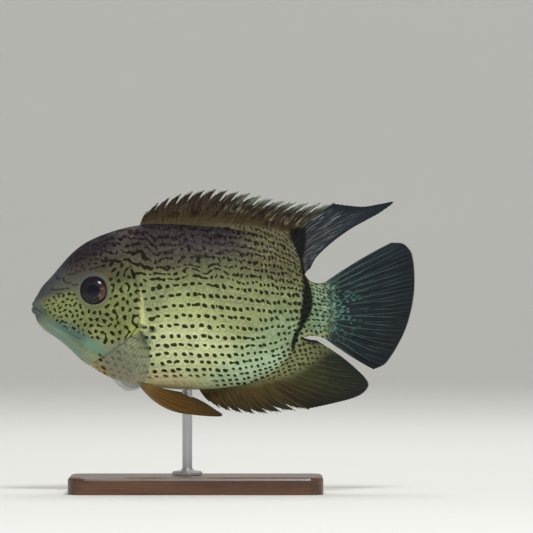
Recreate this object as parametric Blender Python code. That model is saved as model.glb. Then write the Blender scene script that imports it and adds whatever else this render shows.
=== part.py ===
"""A severum, a deep-bodied freshwater fish, as a life-size display model on a plain stand.

The scene is in metres, +Z up. The snout points along -X and the left flank faces -Y. The origin is the
centre of the stand's underside. Sizes and places below are in millimetres. Places on the fish are
given as x, the distance behind the snout, y, the distance from the middle plane, and z, the height
above the body's long axis. To the fish's left, y is negative.
"""

import math
from dataclasses import dataclass

import bmesh
import bpy
from mathutils import Matrix, Vector
from mathutils.bvhtree import BVHTree

MM = 0.001
GAP = 0.3

# Where the fish hangs over the stand
SNOUT_X = -84.8
AXIS_HEIGHT = 95.1

# The body: distance behind the snout, back above the axis, belly below it, half width
STATIONS = (
    (0.5, 3.9, -1.7, 2.6),
    (2.0, 7.3, -6.0, 4.6),
    (4.6, 11.2, -9.6, 6.1),
    (8.8, 16.5, -12.6, 7.9),
    (14.0, 22.9, -16.1, 9.6),
    (19.2, 28.7, -20.6, 11.0),
    (24.4, 33.2, -25.2, 12.1),
    (29.6, 36.4, -29.2, 13.1),
    (40.0, 40.6, -35.2, 15.2),
    (50.4, 43.4, -38.4, 16.7),
    (62.0, 44.9, -40.2, 17.4),
    (76.4, 44.6, -41.4, 17.2),
    (90.0, 43.7, -41.4, 16.2),
    (104.0, 42.5, -40.0, 14.2),
    (115.4, 40.9, -37.2, 11.8),
    (125.8, 37.4, -32.0, 9.2),
    (133.0, 31.5, -24.6, 7.3),
    (138.6, 23.8, -16.6, 5.9),
    (143.0, 16.4, -13.8, 5.0),
    (148.0, 14.0, -14.0, 3.9),
    (152.0, 14.6, -15.0, 2.6),
)
BACK_KEEL = 1.25
BELLY_ROUND = 0.92
WIDEST_SHARE = 0.55
SKIN_COLUMNS = 32
STEM_CUT = 142.5
HEAD_RINGS = (34.6, 40.0, 45.0, 49.0, 52.0, 54.0, 56.0, 59.0, 62.0)
HEAD_RINGS_FROM = 34.6
TORSO_START = 22.0
TORSO_WAIST = 118.0
TORSO_RINGS = 19
TORSO_REAR_RINGS = (122.0, 126.0, 129.5, 133.0, 136.0, 138.6, 140.6)
STEM_RINGS = (144.5, 147.0, 149.5, 151.2, 152.0)
SWAY_START = 95.0
SWAY_LENGTH = 105.0
SWAY = 6.5

# The gill cover's edge, from the nape to the throat
GILL_EDGE = (
    (46.5, 60.0),
    (48.4, 40.0),
    (48.8, 30.0),
    (51.0, 20.0),
    (54.3, 10.0),
    (55.6, 1.0),
    (54.4, -7.0),
    (51.0, -13.0),
    (45.2, -18.2),
    (39.0, -22.4),
    (33.0, -26.4),
    (26.5, -32.0),
    (18.0, -46.0),
)
GILL_FLARE = 0.9
GILL_FLARE_LENGTH = 7.0
GILL_FLARE_TOP = 30.0
GILL_FLARE_FOOT = -30.0

# The eye, looking out of the side of the head
EYE_PLACE = (31.2, 10.1)
EYE_RADIUS = 7.2
EYE_DEPTH = 3.7
EYE_SUNK = 1.55
ORBIT_RADIUS = 7.7
ORBIT_RIM = 0.95

# The mouth
GAPE_FRONT = (-0.4, 1.6)
GAPE_CORNER = (7.4, -3.6)
GAPE_HALF_WIDTH = 6.5
GAPE_DEPTH = 2.6
GAPE_HEIGHT = 0.5
LIP_RADIUS = 1.75
LIP_END_RADIUS = 0.45
LIP_SUNK = (1.5, 0.5)
LOWER_LIP_REACH = -0.6
LIP_STEPS = 14
NOSTRIL_PLACE = (15.6, 15.4)
NOSTRIL_RADIUS = 0.75
NOSTRIL_RIM = 0.4
NOSTRIL_DEPTH = 1.3

# Fins: the web, the rays raised on it, and how far towards the next ray a ridge's foot lies
WEB_ROOT = 1.1
WEB = 0.56
WEB_EDGE = 0.4
WEB_THINS_BY = 0.35
RAY_FOOT = 0.24
ROWS = (0.0, 0.2, 0.46, 0.74, 1.0)
TAIL_ROWS = (0.0, 0.14, 0.34, 0.58, 0.8, 1.0)
SOFT_REACH = (0.985, 0.985)
SPINE_REACH = (0.80, 0.93)
BORDER_REACH = (0.96, 0.96)

# The stand
BASE_SIZE = (132.0, 76.0, 9.0)
BASE_CORNER = 9.0
BASE_BEVEL = 1.6
ROD_X = -4.6
ROD_RADIUS = 2.6
ROD_FOOT_RADIUS = 8.0
ROD_COLUMNS = 24

FISH_GREEN = (0.42, 0.45, 0.24, 1.0)
FISH_OLIVE = (0.30, 0.30, 0.17, 1.0)
FIN_BROWN = (0.24, 0.19, 0.12, 1.0)
FIN_SMOKE = (0.20, 0.23, 0.25, 1.0)
FIN_AMBER = (0.40, 0.26, 0.09, 1.0)
FIN_CLEAR = (0.55, 0.56, 0.50, 1.0)
EYE_DARK = (0.035, 0.022, 0.02, 1.0)
STEEL = (0.62, 0.63, 0.64, 1.0)
WALNUT = (0.10, 0.055, 0.03, 1.0)


def between(low, high, share):
    """The value at a share of the way from low to high."""
    return low + (high - low) * share


def spread(low, high, count):
    """Evenly spaced values from low to high."""
    return [between(low, high, i / (count - 1)) for i in range(count)]


def smooth_step(low, high, value):
    """0 below low, 1 above high, and an even rise between them."""
    t = min(1.0, max(0.0, (value - low) / (high - low)))
    return t * t * (3 - 2 * t)


def along(table, column, at, key=0):
    """A column of a table at a place between its rows, on a smooth curve through them."""
    keys = [row[key] for row in table]
    values = [row[column] for row in table]
    rising = keys[-1] > keys[0]
    if not rising:
        keys.reverse()
        values.reverse()
    at = min(max(at, keys[0]), keys[-1])
    low = 0
    while low < len(keys) - 2 and keys[low + 1] < at:
        low += 1
    step = keys[low + 1] - keys[low]
    t = (at - keys[low]) / step

    def slope(index):
        before, after = max(index - 1, 0), min(index + 1, len(keys) - 1)
        return (values[after] - values[before]) / (keys[after] - keys[before])

    start, end = slope(low) * step, slope(low + 1) * step
    first, last = values[low], values[low + 1]
    return (
        first * (2 * t**3 - 3 * t**2 + 1)
        + start * (t**3 - 2 * t**2 + t)
        + last * (3 * t**2 - 2 * t**3)
        + end * (t**3 - t**2)
    )


def sway(x):
    """How far the middle plane of the tail end swings to the fish's right."""
    return SWAY * (max(0.0, x - SWAY_START) / SWAY_LENGTH) ** 2


def back(x):
    """The height of the back above the axis."""
    return along(STATIONS, 1, x)


def belly(x):
    """The height of the belly's underside, negative below the axis."""
    return along(STATIONS, 2, x)


def gill_edge_x(z):
    """The distance behind the snout of the gill cover's edge at a height."""
    return along(GILL_EDGE, 0, z, key=1)


def gill_flare(x, z):
    """How far the gill cover stands proud of the flank."""
    ahead = gill_edge_x(z) - x
    fade = smooth_step(GILL_FLARE_FOOT - 6, GILL_FLARE_FOOT + 6, z)
    fade *= 1 - smooth_step(GILL_FLARE_TOP - 14, GILL_FLARE_TOP, z)
    return GILL_FLARE * fade * math.exp(-max(ahead, 0.0) / GILL_FLARE_LENGTH)


def section_point(x, turn, gill=False):
    """A point of the skin: turn 0 is the fish's right flank, a quarter turn is the back."""
    rise, side = math.sin(turn), math.cos(turn)
    top, foot, width = back(x), belly(x), along(STATIONS, 3, x)
    widest = between(foot, top, WIDEST_SHARE)
    if rise > 0:
        z = between(widest, top, rise)
        y = width * abs(side) ** between(1.0, BACK_KEEL, smooth_step(0, 60, x))
    else:
        z = between(widest, foot, -rise)
        y = width * abs(side) ** BELLY_ROUND
    if gill:
        y += gill_flare(x, z) * min(1.0, abs(side) * 2)
    return Vector((x, sway(x) + math.copysign(y, side), z))


def half_width_at(x, z):
    """The half width of the body at a place on its side."""
    top, foot = back(x), belly(x)
    widest = between(foot, top, WIDEST_SHARE)
    turn = math.asin((z - widest) / (top - widest if z > widest else widest - foot))
    return section_point(x, turn).y - sway(x)


def flank_frame(x, z, side):
    """A matrix whose Z axis points straight out of the flank at a place, to the left for side -1."""
    reach = 1.5
    slope_x = (half_width_at(x + reach, z) - half_width_at(x - reach, z)) / (2 * reach)
    slope_z = (half_width_at(x, z + reach) - half_width_at(x, z - reach)) / (2 * reach)
    out = Vector((-slope_x, side, -slope_z)).normalized()
    right = Vector((1, 0, 0))
    up = out.cross(right).normalized()
    right = up.cross(out).normalized()
    spin = Matrix((right, up, out)).transposed().to_4x4()
    return Matrix.Translation((x, side * half_width_at(x, z), z)) @ spin


def to_world(point):
    """From a place on the fish, in millimetres, to the scene, in metres."""
    return Vector((point[0] + SNOUT_X, point[1], point[2] + AXIS_HEIGHT)) * MM


def face_outwards(bm):
    """Turns every face of a closed bmesh to look out."""
    bmesh.ops.recalc_face_normals(bm, faces=bm.faces)
    if bm.calc_volume(signed=True) < 0:
        bmesh.ops.reverse_faces(bm, faces=bm.faces)


def from_bmesh(name, bm):
    """A named object from a bmesh in the fish's own millimetres."""
    for vertex in bm.verts:
        vertex.co = to_world(vertex.co)
    face_outwards(bm)
    mesh = bpy.data.meshes.new(name)
    bm.to_mesh(mesh)
    bm.free()
    part = bpy.data.objects.new(name, mesh)
    bpy.context.scene.collection.objects.link(part)
    return part


def loft(places, columns, point):
    """A closed skin with a ring at each place: point(place, turn) is where a vertex of it goes."""
    bm = bmesh.new()
    bands = len(places) + 1
    bmesh.ops.create_uvsphere(bm, u_segments=columns, v_segments=bands, radius=1)
    for vertex in bm.verts:
        band = round(math.acos(max(-1.0, min(1.0, vertex.co.z))) / math.pi * bands)
        turn = math.atan2(vertex.co.y, vertex.co.x)
        if 0 < band < bands:
            vertex.co = point(places[band - 1], turn)
        else:
            place = places[0] if band == 0 else places[-1]
            vertex.co = (point(place, math.pi / 2) + point(place, -math.pi / 2)) / 2
    return bm


def largest_surface(bm):
    """Deletes every closed surface of a bmesh but the largest."""
    bm.verts.ensure_lookup_table()
    unseen = set(bm.faces)
    shells = []
    while unseen:
        shell, edge_of_shell = set(), [unseen.pop()]
        while edge_of_shell:
            face = edge_of_shell.pop()
            shell.add(face)
            for edge in face.edges:
                for other in edge.link_faces:
                    if other in unseen:
                        unseen.remove(other)
                        edge_of_shell.append(other)
        shells.append(shell)
    shells.sort(key=lambda shell: sum(face.calc_area() for face in shell))
    loose = [face for shell in shells[:-1] for face in shell]
    if loose:
        bmesh.ops.delete(bm, geom=loose, context="FACES")


def carve(target, pieces, operation):
    """Joins a piece with closed pieces, or cuts it by them, and removes them."""
    tools = bpy.data.collections.new("tools")
    for piece in pieces:
        tools.objects.link(piece)
    boolean = target.modifiers.new(operation, "BOOLEAN")
    boolean.operation = operation
    boolean.operand_type = "COLLECTION"
    boolean.collection = tools
    boolean.solver = "EXACT"
    graph = bpy.context.evaluated_depsgraph_get()
    made = bpy.data.meshes.new_from_object(target.evaluated_get(graph))
    target.modifiers.remove(boolean)
    bm = bmesh.new()
    bm.from_mesh(made)
    largest_surface(bm)
    bmesh.ops.dissolve_degenerate(bm, dist=0.004 * MM, edges=bm.edges)
    bmesh.ops.triangulate(bm, faces=bm.faces)
    bm.to_mesh(target.data)
    bm.free()
    bpy.data.meshes.remove(made)
    for piece in pieces:
        bpy.data.objects.remove(piece)
    bpy.data.collections.remove(tools)


def prism(name, outline, half_width):
    """An outline in the fish's side view made solid from one side of it to the other."""
    bm = bmesh.new()
    ring = [bm.verts.new((x, -half_width, z)) for x, z in outline]
    face = bm.faces.new(ring)
    made = bmesh.ops.extrude_face_region(bm, geom=[face])["geom"]
    raised = [item for item in made if isinstance(item, bmesh.types.BMVert)]
    bmesh.ops.translate(bm, verts=raised, vec=(0, 2 * half_width, 0))
    return from_bmesh(name, bm)


def gill_outline(shift):
    """The gill cover's edge in side view, moved back by a shift along its own normal."""
    steps = 26
    heights = [between(GILL_EDGE[0][1], GILL_EDGE[-1][1], i / steps) for i in range(steps + 1)]
    edge = [Vector((gill_edge_x(z), z)) for z in heights]
    moved = []
    for index, point in enumerate(edge):
        run = edge[min(index + 1, steps)] - edge[max(index - 1, 0)]
        moved.append(point + Vector((-run.y, run.x)).normalized() * shift)
    return [(p.x, p.y) for p in moved]


def tube(name, path, radii, columns=8):
    """A closed tube through points, with a radius at each."""
    bm = bmesh.new()
    bands = len(path) + 1
    bmesh.ops.create_uvsphere(bm, u_segments=columns, v_segments=bands, radius=1)
    for vertex in bm.verts:
        band = round(math.acos(max(-1.0, min(1.0, vertex.co.z))) / math.pi * bands)
        turn = math.atan2(vertex.co.y, vertex.co.x)
        index = min(max(band - 1, 0), len(path) - 1)
        run = path[min(index + 1, len(path) - 1)] - path[max(index - 1, 0)]
        run.normalize()
        across = run.cross(Vector((0, 0, 1))).normalized()
        up = across.cross(run).normalized()
        if 0 < band < bands:
            vertex.co = path[index] + (across * math.cos(turn) + up * math.sin(turn)) * radii[index]
        else:
            vertex.co = path[index] + run * radii[index] * (0.5 if band else -0.5)
    return from_bmesh(name, bm)


def gape_point(share):
    """The line of the mouth, share -1 at the left corner and 1 at the right."""
    bend = abs(share) ** 2.3
    x = between(GAPE_FRONT[0], GAPE_CORNER[0], bend)
    z = between(GAPE_FRONT[1], GAPE_CORNER[1], bend)
    return Vector((x, GAPE_HALF_WIDTH * math.sin(share * math.pi / 2), z))


def lips():
    """The upper and lower lip, each a tapered roll round the mouth."""
    made = []
    for name, side, reach in (("upper", 1, 0.0), ("lower", -1, LOWER_LIP_REACH)):
        path, radii = [], []
        for share in spread(-1, 1, LIP_STEPS + 1):
            radius = between(LIP_RADIUS, LIP_END_RADIUS, share**2)
            inward = between(*LIP_SUNK, abs(share)) + reach * (1 - share**2)
            place = gape_point(share) + Vector((inward, 0, side * radius * 0.96))
            place.y *= between(0.84, 0.96, abs(share))
            path.append(place)
            radii.append(radius)
        made.append(tube(f"{name}_lip", path, radii))
    return made


def gape_cutter():
    """A thin crescent that parts the lips along the line of the mouth."""
    bm = bmesh.new()
    outer, inner = [], []
    for share in spread(-1, 1, LIP_STEPS + 1):
        point = gape_point(share)
        outward = Vector((-1.0, 1.6 * share, 0)).normalized()
        outer.append(bm.verts.new(point + outward * 3.0))
        inner.append(bm.verts.new(point - outward * GAPE_DEPTH))
    quads = zip(outer, outer[1:], inner[1:], inner)
    made = bmesh.ops.extrude_face_region(bm, geom=[bm.faces.new(quad) for quad in quads])["geom"]
    raised = [item for item in made if isinstance(item, bmesh.types.BMVert)]
    bmesh.ops.translate(bm, verts=raised, vec=(0, 0, GAPE_HEIGHT))
    return from_bmesh("gape", bm)


def ball(name, frame, size, columns, rings):
    """An ellipsoid in a local frame, size along the frame's axes."""
    bm = bmesh.new()
    bmesh.ops.create_uvsphere(bm, u_segments=columns, v_segments=rings, radius=1)
    bmesh.ops.transform(bm, matrix=frame @ Matrix.Diagonal((*size, 1)), verts=bm.verts)
    return from_bmesh(name, bm)


def rim(name, frame, radius, thick, columns, flat=1.0):
    """A ring lying round a local frame's Z axis."""
    bm = bmesh.new()
    steps = 8
    ring = []
    for i in range(steps):
        turn = 2 * math.pi * i / steps
        ring.append(bm.verts.new((radius + thick * math.cos(turn), 0, thick * flat * math.sin(turn))))
    edges = [bm.edges.new((ring[i], ring[(i + 1) % steps])) for i in range(steps)]
    bmesh.ops.spin(
        bm,
        geom=ring + edges,
        cent=(0, 0, 0),
        axis=(0, 0, 1),
        angle=2 * math.pi,
        steps=columns,
        use_merge=True,
    )
    bmesh.ops.transform(bm, matrix=frame, verts=bm.verts)
    return from_bmesh(name, bm)


def eye_frame(side, out=0.0):
    """The eye's own frame, moved out of the head by a distance."""
    return flank_frame(*EYE_PLACE, side) @ Matrix.Translation((0, 0, out))


def make_head():
    """The head with its lips, mouth line, nostrils, eye sockets and gill covers."""
    places = [row[0] for row in STATIONS if row[0] < HEAD_RINGS_FROM] + list(HEAD_RINGS)
    bm = loft(places, SKIN_COLUMNS, lambda x, turn: section_point(x, turn, gill=True))
    head = from_bmesh("head", bm)
    joined = lips()
    for side in (-1, 1):
        joined.append(rim("orbit", eye_frame(side, -0.1), ORBIT_RADIUS, ORBIT_RIM, 28, flat=0.75))
        nostril = flank_frame(*NOSTRIL_PLACE, side)
        joined.append(rim("nostril", nostril, NOSTRIL_RADIUS, NOSTRIL_RIM, 10))
    carve(head, joined, "UNION")
    cutters = [gape_cutter()]
    for side in (-1, 1):
        socket = (EYE_RADIUS + GAP, EYE_RADIUS + GAP, EYE_DEPTH + GAP)
        cutters.append(ball("socket", eye_frame(side, -EYE_SUNK), socket, 28, 12))
        pit = (NOSTRIL_RADIUS, NOSTRIL_RADIUS, NOSTRIL_DEPTH)
        cutters.append(ball("pit", flank_frame(*NOSTRIL_PLACE, side), pit, 10, 6))
    behind = [(90, GILL_EDGE[-1][1]), (90, GILL_EDGE[0][1])]
    cutters.append(prism("behind_gills", gill_outline(0.0) + behind, 40))
    carve(head, cutters, "DIFFERENCE")
    return head


def make_torso():
    """The flanks, from behind the gill covers to the tail stem."""
    places = spread(TORSO_START, TORSO_WAIST, TORSO_RINGS) + [*TORSO_REAR_RINGS, STEM_CUT - GAP]
    torso = from_bmesh("torso", loft(places, SKIN_COLUMNS, section_point))
    ahead = [(0, GILL_EDGE[-1][1]), (0, GILL_EDGE[0][1])]
    carve(torso, [prism("ahead_of_gills", gill_outline(GAP) + ahead, 40)], "DIFFERENCE")
    return torso


def make_stem():
    """The short stem that carries the tail fin."""
    return from_bmesh("tail_stem", loft((STEM_CUT, *STEM_RINGS), SKIN_COLUMNS, section_point))


def whole_skin():
    """The body in one piece, as a tree that finds the nearest place on its skin."""
    places = {row[0] for row in STATIONS} | {*HEAD_RINGS, *TORSO_REAR_RINGS, *STEM_RINGS}
    places = sorted(places | set(spread(TORSO_START, TORSO_WAIST, TORSO_RINGS)))
    bm = loft(places, 48, lambda x, turn: section_point(x, turn, gill=True))
    face_outwards(bm)
    tree = BVHTree.FromBMesh(bm)
    bm.free()
    return tree


@dataclass
class Ray:
    """One spine or soft ray of a fin, from its root to its tip."""

    root: Vector
    tip: Vector
    bow: Vector
    thick: float
    reach: tuple = SOFT_REACH
    bare: bool = False

    def at(self, share):
        """The place a share of the way along."""
        return self.root.lerp(self.tip, share) + self.bow * (4 * share * (1 - share))

    def border(self):
        """A bare edge of web that runs beside the ray, on its side towards the snout."""
        run = (self.tip - self.root).normalized()
        aside = Vector((-abs(run.z), 0, math.copysign(run.x, run.z))) * GAP
        return Ray(self.root + aside, self.tip + aside, self.bow, 0.0, BORDER_REACH, True)


def fin_columns(rays):
    """The fin's columns: a ray, the share of the way to the next, the web's reach, and if it is a ridge."""
    columns = []
    for index, ray in enumerate(rays):
        if ray.bare:
            columns.append((index, 0.0, ray.reach[0], False))
            continue
        if index:
            columns.append((index - 1, 1 - RAY_FOOT, ray.reach[0], False))
        columns.append((index, 0.0, 1.0, True))
        if index < len(rays) - 1:
            columns.append((index, RAY_FOOT, ray.reach[1], False))
    return columns


def fin(name, rays, skin, rows=ROWS):
    """A fin: a thin web with each ray a ridge on both faces, its root lying on the body's skin."""
    columns = fin_columns(rays)
    bm = bmesh.new()
    across, up = len(columns) - 1, len(rows) - 1
    bmesh.ops.create_grid(bm, x_segments=across, y_segments=up, size=1)
    bmesh.ops.triangulate(bm, faces=bm.faces, quad_method="FIXED")
    column_of = bm.verts.layers.int.new("column")
    row_of = bm.verts.layers.int.new("row")
    for vertex in bm.verts:
        vertex[column_of] = round((vertex.co.x + 1) / 2 * across)
        vertex[row_of] = round((vertex.co.y + 1) / 2 * up)
    front = set(bm.verts)
    bmesh.ops.extrude_face_region(bm, geom=bm.faces[:])

    def middle(column, row):
        index, share, reach, _ = columns[column]
        way = rows[row] * reach
        return rays[index].at(way).lerp(rays[index + 1].at(way), share) if share else rays[index].at(way)

    def facing(column, row):
        low, high = max(column - 1, 0), min(column + 1, across)
        run = middle(high, row) - middle(low, row)
        rise = middle(column, min(row + 1, up)) - middle(column, max(row - 1, 0))
        return run.cross(rise).normalized()

    for vertex in bm.verts:
        column, row = vertex[column_of], vertex[row_of]
        index, _, _, is_ridge = columns[column]
        way = rows[row]
        if is_ridge:
            thick = between(rays[index].thick, WEB_EDGE * 0.85, way**1.3)
        else:
            thick = between(WEB_ROOT, WEB, smooth_step(0, WEB_THINS_BY, way)) if row < up else WEB_EDGE
        side = 0.5 if vertex in front else -0.5
        vertex.co = middle(column, row) + facing(column, row) * thick * side
        if row == 0:
            place, normal, _, _ = skin.find_nearest(vertex.co)
            vertex.co = place + normal * GAP
    return from_bmesh(name, bm)


def on_outline(x, side):
    """A place on the body's outline: side 1 on the back, -1 under the belly."""
    return Vector((x, sway(x), back(x) if side > 0 else belly(x)))


def in_plane(x, z, lean=0.0):
    """A place in the middle plane, with a sideways lean added to the sway of the tail end."""
    return Vector((x, sway(x) + lean, z))


# Tips of the back and belly fins: the ray's number, distance behind the snout, height above the axis
DORSAL_SPINES = 16
DORSAL_SPINE_ROOTS = (56.2, 129.6)
DORSAL_SPINE_TIPS = (
    (0, 59.6, 51.6),
    (1, 65.2, 55.8),
    (3, 77.0, 60.4),
    (6, 95.2, 62.8),
    (9, 112.8, 60.7),
    (12, 130.6, 56.6),
    (15, 149.4, 55.5),
)
DORSAL_RAYS = 13
DORSAL_RAY_ROOTS = (131.6, 141.2)
DORSAL_RAY_TIPS = (
    (0, 156.6, 55.6),
    (2, 173.0, 54.0),
    (4, 188.4, 56.4),
    (5, 181.4, 51.0),
    (7, 166.6, 42.9),
    (9, 155.0, 34.6),
    (11, 146.8, 26.6),
    (12, 144.2, 21.6),
)
ANAL_SPINES = 8
ANAL_SPINE_ROOTS = (87.2, 117.0)
ANAL_SPINE_TIPS = (
    (0, 91.8, -47.6),
    (1, 97.2, -51.0),
    (3, 108.7, -53.6),
    (5, 122.0, -53.8),
    (7, 136.4, -52.4),
)
ANAL_RAYS = 13
ANAL_RAY_ROOTS = (119.2, 140.6)
ANAL_RAY_TIPS = (
    (0, 143.6, -51.5),
    (2, 158.0, -48.4),
    (4, 170.4, -44.6),
    (6, 175.2, -38.6),
    (8, 169.4, -31.4),
    (10, 159.6, -23.4),
    (12, 147.6, -15.8),
)
SPINE_THICK = (1.7, 1.4)
SOFT_THICK = (1.25, 1.25)
DORSAL_BOW = (-0.055, 0.03)
ANAL_BOW = (-0.04, 0.03)
TAIL_RAYS = 16
TAIL_ROOTS = ((152.0, 14.4), (152.0, -14.8))
TAIL_TIPS = (
    (0, 187.0, 35.2),
    (1, 193.0, 34.8),
    (2, 197.0, 31.0),
    (4, 199.0, 22.0),
    (7, 198.8, 7.4),
    (10, 195.4, -7.6),
    (12, 190.6, -18.2),
    (14, 183.4, -28.6),
    (15, 177.6, -31.2),
)
TAIL_SWAY_TOP = 2.0
TAIL_SWAY_FOOT = 10.0


def outline_rays(side, count, roots, tips, bow, thick, reach):
    """The rays of one part of the back or belly fin, its roots spread along the body's outline."""
    rays = []
    for number, root_x in enumerate(spread(*roots, count)):
        root = on_outline(root_x, side)
        tip = in_plane(along(tips, 1, number), along(tips, 2, number))
        bend = Vector((bow[0], 0, bow[1] * side)) * (tip - root).length
        rays.append(Ray(root, tip, bend, between(*thick, number / count), reach))
    return rays


def make_dorsal(skin):
    """The back fin, its spiny part and its soft part."""
    spines = outline_rays(
        1, DORSAL_SPINES, DORSAL_SPINE_ROOTS, DORSAL_SPINE_TIPS, DORSAL_BOW, SPINE_THICK, SPINE_REACH
    )
    soft = outline_rays(
        1, DORSAL_RAYS, DORSAL_RAY_ROOTS, DORSAL_RAY_TIPS, DORSAL_BOW, SOFT_THICK, SOFT_REACH
    )
    spines.append(soft[0].border())
    return [fin("dorsal_fin_spines", spines, skin), fin("dorsal_fin_soft_rays", soft, skin)]


def make_anal(skin):
    """The belly fin, its spiny part and its soft part."""
    spines = outline_rays(
        -1, ANAL_SPINES, ANAL_SPINE_ROOTS, ANAL_SPINE_TIPS, ANAL_BOW, SPINE_THICK, SPINE_REACH
    )
    soft = outline_rays(-1, ANAL_RAYS, ANAL_RAY_ROOTS, ANAL_RAY_TIPS, ANAL_BOW, SOFT_THICK, SOFT_REACH)
    spines.append(soft[0].border())
    return [fin("anal_fin_spines", spines, skin), fin("anal_fin_soft_rays", soft, skin)]


def make_tail(skin):
    """The tail fin, its lower lobe swung further to the right than its upper one."""
    rays = []
    for number in range(TAIL_RAYS):
        share = number / (TAIL_RAYS - 1)
        (top_x, top_z), (foot_x, foot_z) = TAIL_ROOTS
        root = in_plane(between(top_x, foot_x, share), between(top_z, foot_z, share) * 0.94)
        x, z = along(TAIL_TIPS, 1, number), along(TAIL_TIPS, 2, number)
        tip = in_plane(x, z, between(TAIL_SWAY_TOP, TAIL_SWAY_FOOT, share))
        length = (tip - root).length
        bow = Vector((0, -0.05 * length, 0.06 * length * (0.5 - share)))
        rays.append(Ray(root, tip, bow, 1.7))
    return fin("tail_fin", rays, skin, TAIL_ROWS)


# Paired fins, on the left side: roots and tips as x, y outward, z
PELVIC_RAYS = 6
PELVIC_ROOTS = ((55.6, 5.6, -38.6), (61.2, 5.0, -39.6))
PELVIC_TIPS = (
    (0, 83.6, 10.4, -54.0),
    (1, 98.6, 12.6, -55.0),
    (2, 94.6, 13.4, -51.6),
    (3, 89.2, 13.6, -48.2),
    (4, 83.2, 13.2, -45.4),
    (5, 77.0, 12.2, -43.0),
)
PECTORAL_RAYS = 12
PECTORAL_ROOTS = ((56.8, -11.0), (60.4, -19.6))
PECTORAL_TIPS = (
    (0, 37.4, 38.0, -18.6),
    (2, 37.6, 42.0, -25.0),
    (4, 39.6, 43.0, -31.6),
    (6, 43.4, 41.6, -37.4),
    (8, 49.2, 37.6, -41.6),
    (10, 55.6, 32.0, -40.4),
    (11, 58.6, 28.0, -37.0),
)


def pelvic_ray(number, side):
    """One ray of a pelvic fin: number 0 is the spine along its leading edge."""
    share = number / (PELVIC_RAYS - 1)
    root = Vector(PELVIC_ROOTS[0]).lerp(Vector(PELVIC_ROOTS[1]), share)
    tip = Vector([along(PELVIC_TIPS, column, number) for column in (1, 2, 3)])
    length = (tip - root).length
    bow = Vector((-0.05, 0.02, -0.12 * (1 - share))) * length
    for point in (root, tip, bow):
        point.y *= side
    return Ray(root, tip, bow, 1.5 if number == 0 else 1.2)


def pectoral_ray(number, side):
    """One ray of a pectoral fin, fanned forward and down from the flank."""
    share = number / (PECTORAL_RAYS - 1)
    root_x = between(PECTORAL_ROOTS[0][0], PECTORAL_ROOTS[1][0], share)
    root_z = between(PECTORAL_ROOTS[0][1], PECTORAL_ROOTS[1][1], share)
    root = Vector((root_x, half_width_at(root_x, root_z), root_z))
    tip = Vector([along(PECTORAL_TIPS, column, number) for column in (1, 2, 3)])
    length = (tip - root).length
    bow = Vector((0.06, 0.10, 0.0)) * length
    for point in (root, tip, bow):
        point.y *= side
    return Ray(root, tip, bow, 1.2)


def make_paired(skin):
    """The pelvic and pectoral fins of both sides."""
    made = []
    for side, word in ((-1, "left"), (1, "right")):
        pelvic = [pelvic_ray(i, side) for i in range(PELVIC_RAYS)]
        made.append(fin(f"pelvic_fin_{word}", pelvic, skin))
        pectoral = [pectoral_ray(i, side) for i in range(PECTORAL_RAYS)]
        made.append(fin(f"pectoral_fin_{word}", pectoral, skin))
    return made


def make_eyes():
    """The eyeballs, flattened domes that stand a little out of their sockets."""
    made = []
    for side, word in ((-1, "left"), (1, "right")):
        size = (EYE_RADIUS, EYE_RADIUS, EYE_DEPTH)
        made.append(ball(f"eye_{word}", eye_frame(side, -EYE_SUNK), size, 28, 14))
    return made


def make_base():
    """The flat base, a round-cornered board."""
    bm = bmesh.new()
    bmesh.ops.create_cube(bm, size=1)
    bmesh.ops.scale(bm, vec=BASE_SIZE, verts=bm.verts)
    bmesh.ops.translate(bm, vec=(0, 0, BASE_SIZE[2] / 2), verts=bm.verts)
    upright = [e for e in bm.edges if abs(e.verts[0].co.z - e.verts[1].co.z) > 1]
    bmesh.ops.bevel(
        bm,
        geom=upright,
        offset=BASE_CORNER,
        segments=6,
        profile=0.5,
        affect="EDGES",
        material=-1,
    )
    top = [e for e in bm.edges if all(v.co.z > BASE_SIZE[2] - 0.1 for v in e.verts)]
    bmesh.ops.bevel(
        bm,
        geom=top,
        offset=BASE_BEVEL,
        segments=2,
        profile=0.5,
        affect="EDGES",
        material=-1,
    )
    for vertex in bm.verts:
        vertex.co -= Vector((SNOUT_X, 0, AXIS_HEIGHT))
    return from_bmesh("stand_base", bm)


def make_rod(skin):
    """The steel rod with its round foot, its top hollowed to the belly."""
    bm = bmesh.new()
    foot = BASE_SIZE[2] + GAP - AXIS_HEIGHT
    x = ROD_X - SNOUT_X
    top = belly(x) - 2.0
    profile = (
        (0.0, foot),
        (ROD_FOOT_RADIUS, foot),
        (ROD_FOOT_RADIUS, foot + 1.2),
        (ROD_FOOT_RADIUS - 0.8, foot + 2.0),
        (ROD_RADIUS + 0.8, foot + 2.6),
        (ROD_RADIUS, foot + 3.6),
        (ROD_RADIUS, top),
        (0.0, top),
    )
    line = [bm.verts.new((radius, 0, z)) for radius, z in profile]
    edges = [bm.edges.new(pair) for pair in zip(line, line[1:])]
    bmesh.ops.spin(
        bm,
        geom=line + edges,
        cent=(0, 0, 0),
        axis=(0, 0, 1),
        angle=2 * math.pi,
        steps=ROD_COLUMNS,
        use_merge=True,
    )
    bmesh.ops.remove_doubles(bm, verts=bm.verts, dist=0.001)
    bmesh.ops.translate(bm, vec=(x, 0, 0), verts=bm.verts)
    for vertex in bm.verts:
        if vertex.co.z > top - 0.01:
            place, normal, _, _ = skin.ray_cast(vertex.co, Vector((0, 0, 1)))
            vertex.co.z = place.z - GAP / abs(normal.z)
    return from_bmesh("stand_rod", bm)


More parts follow.
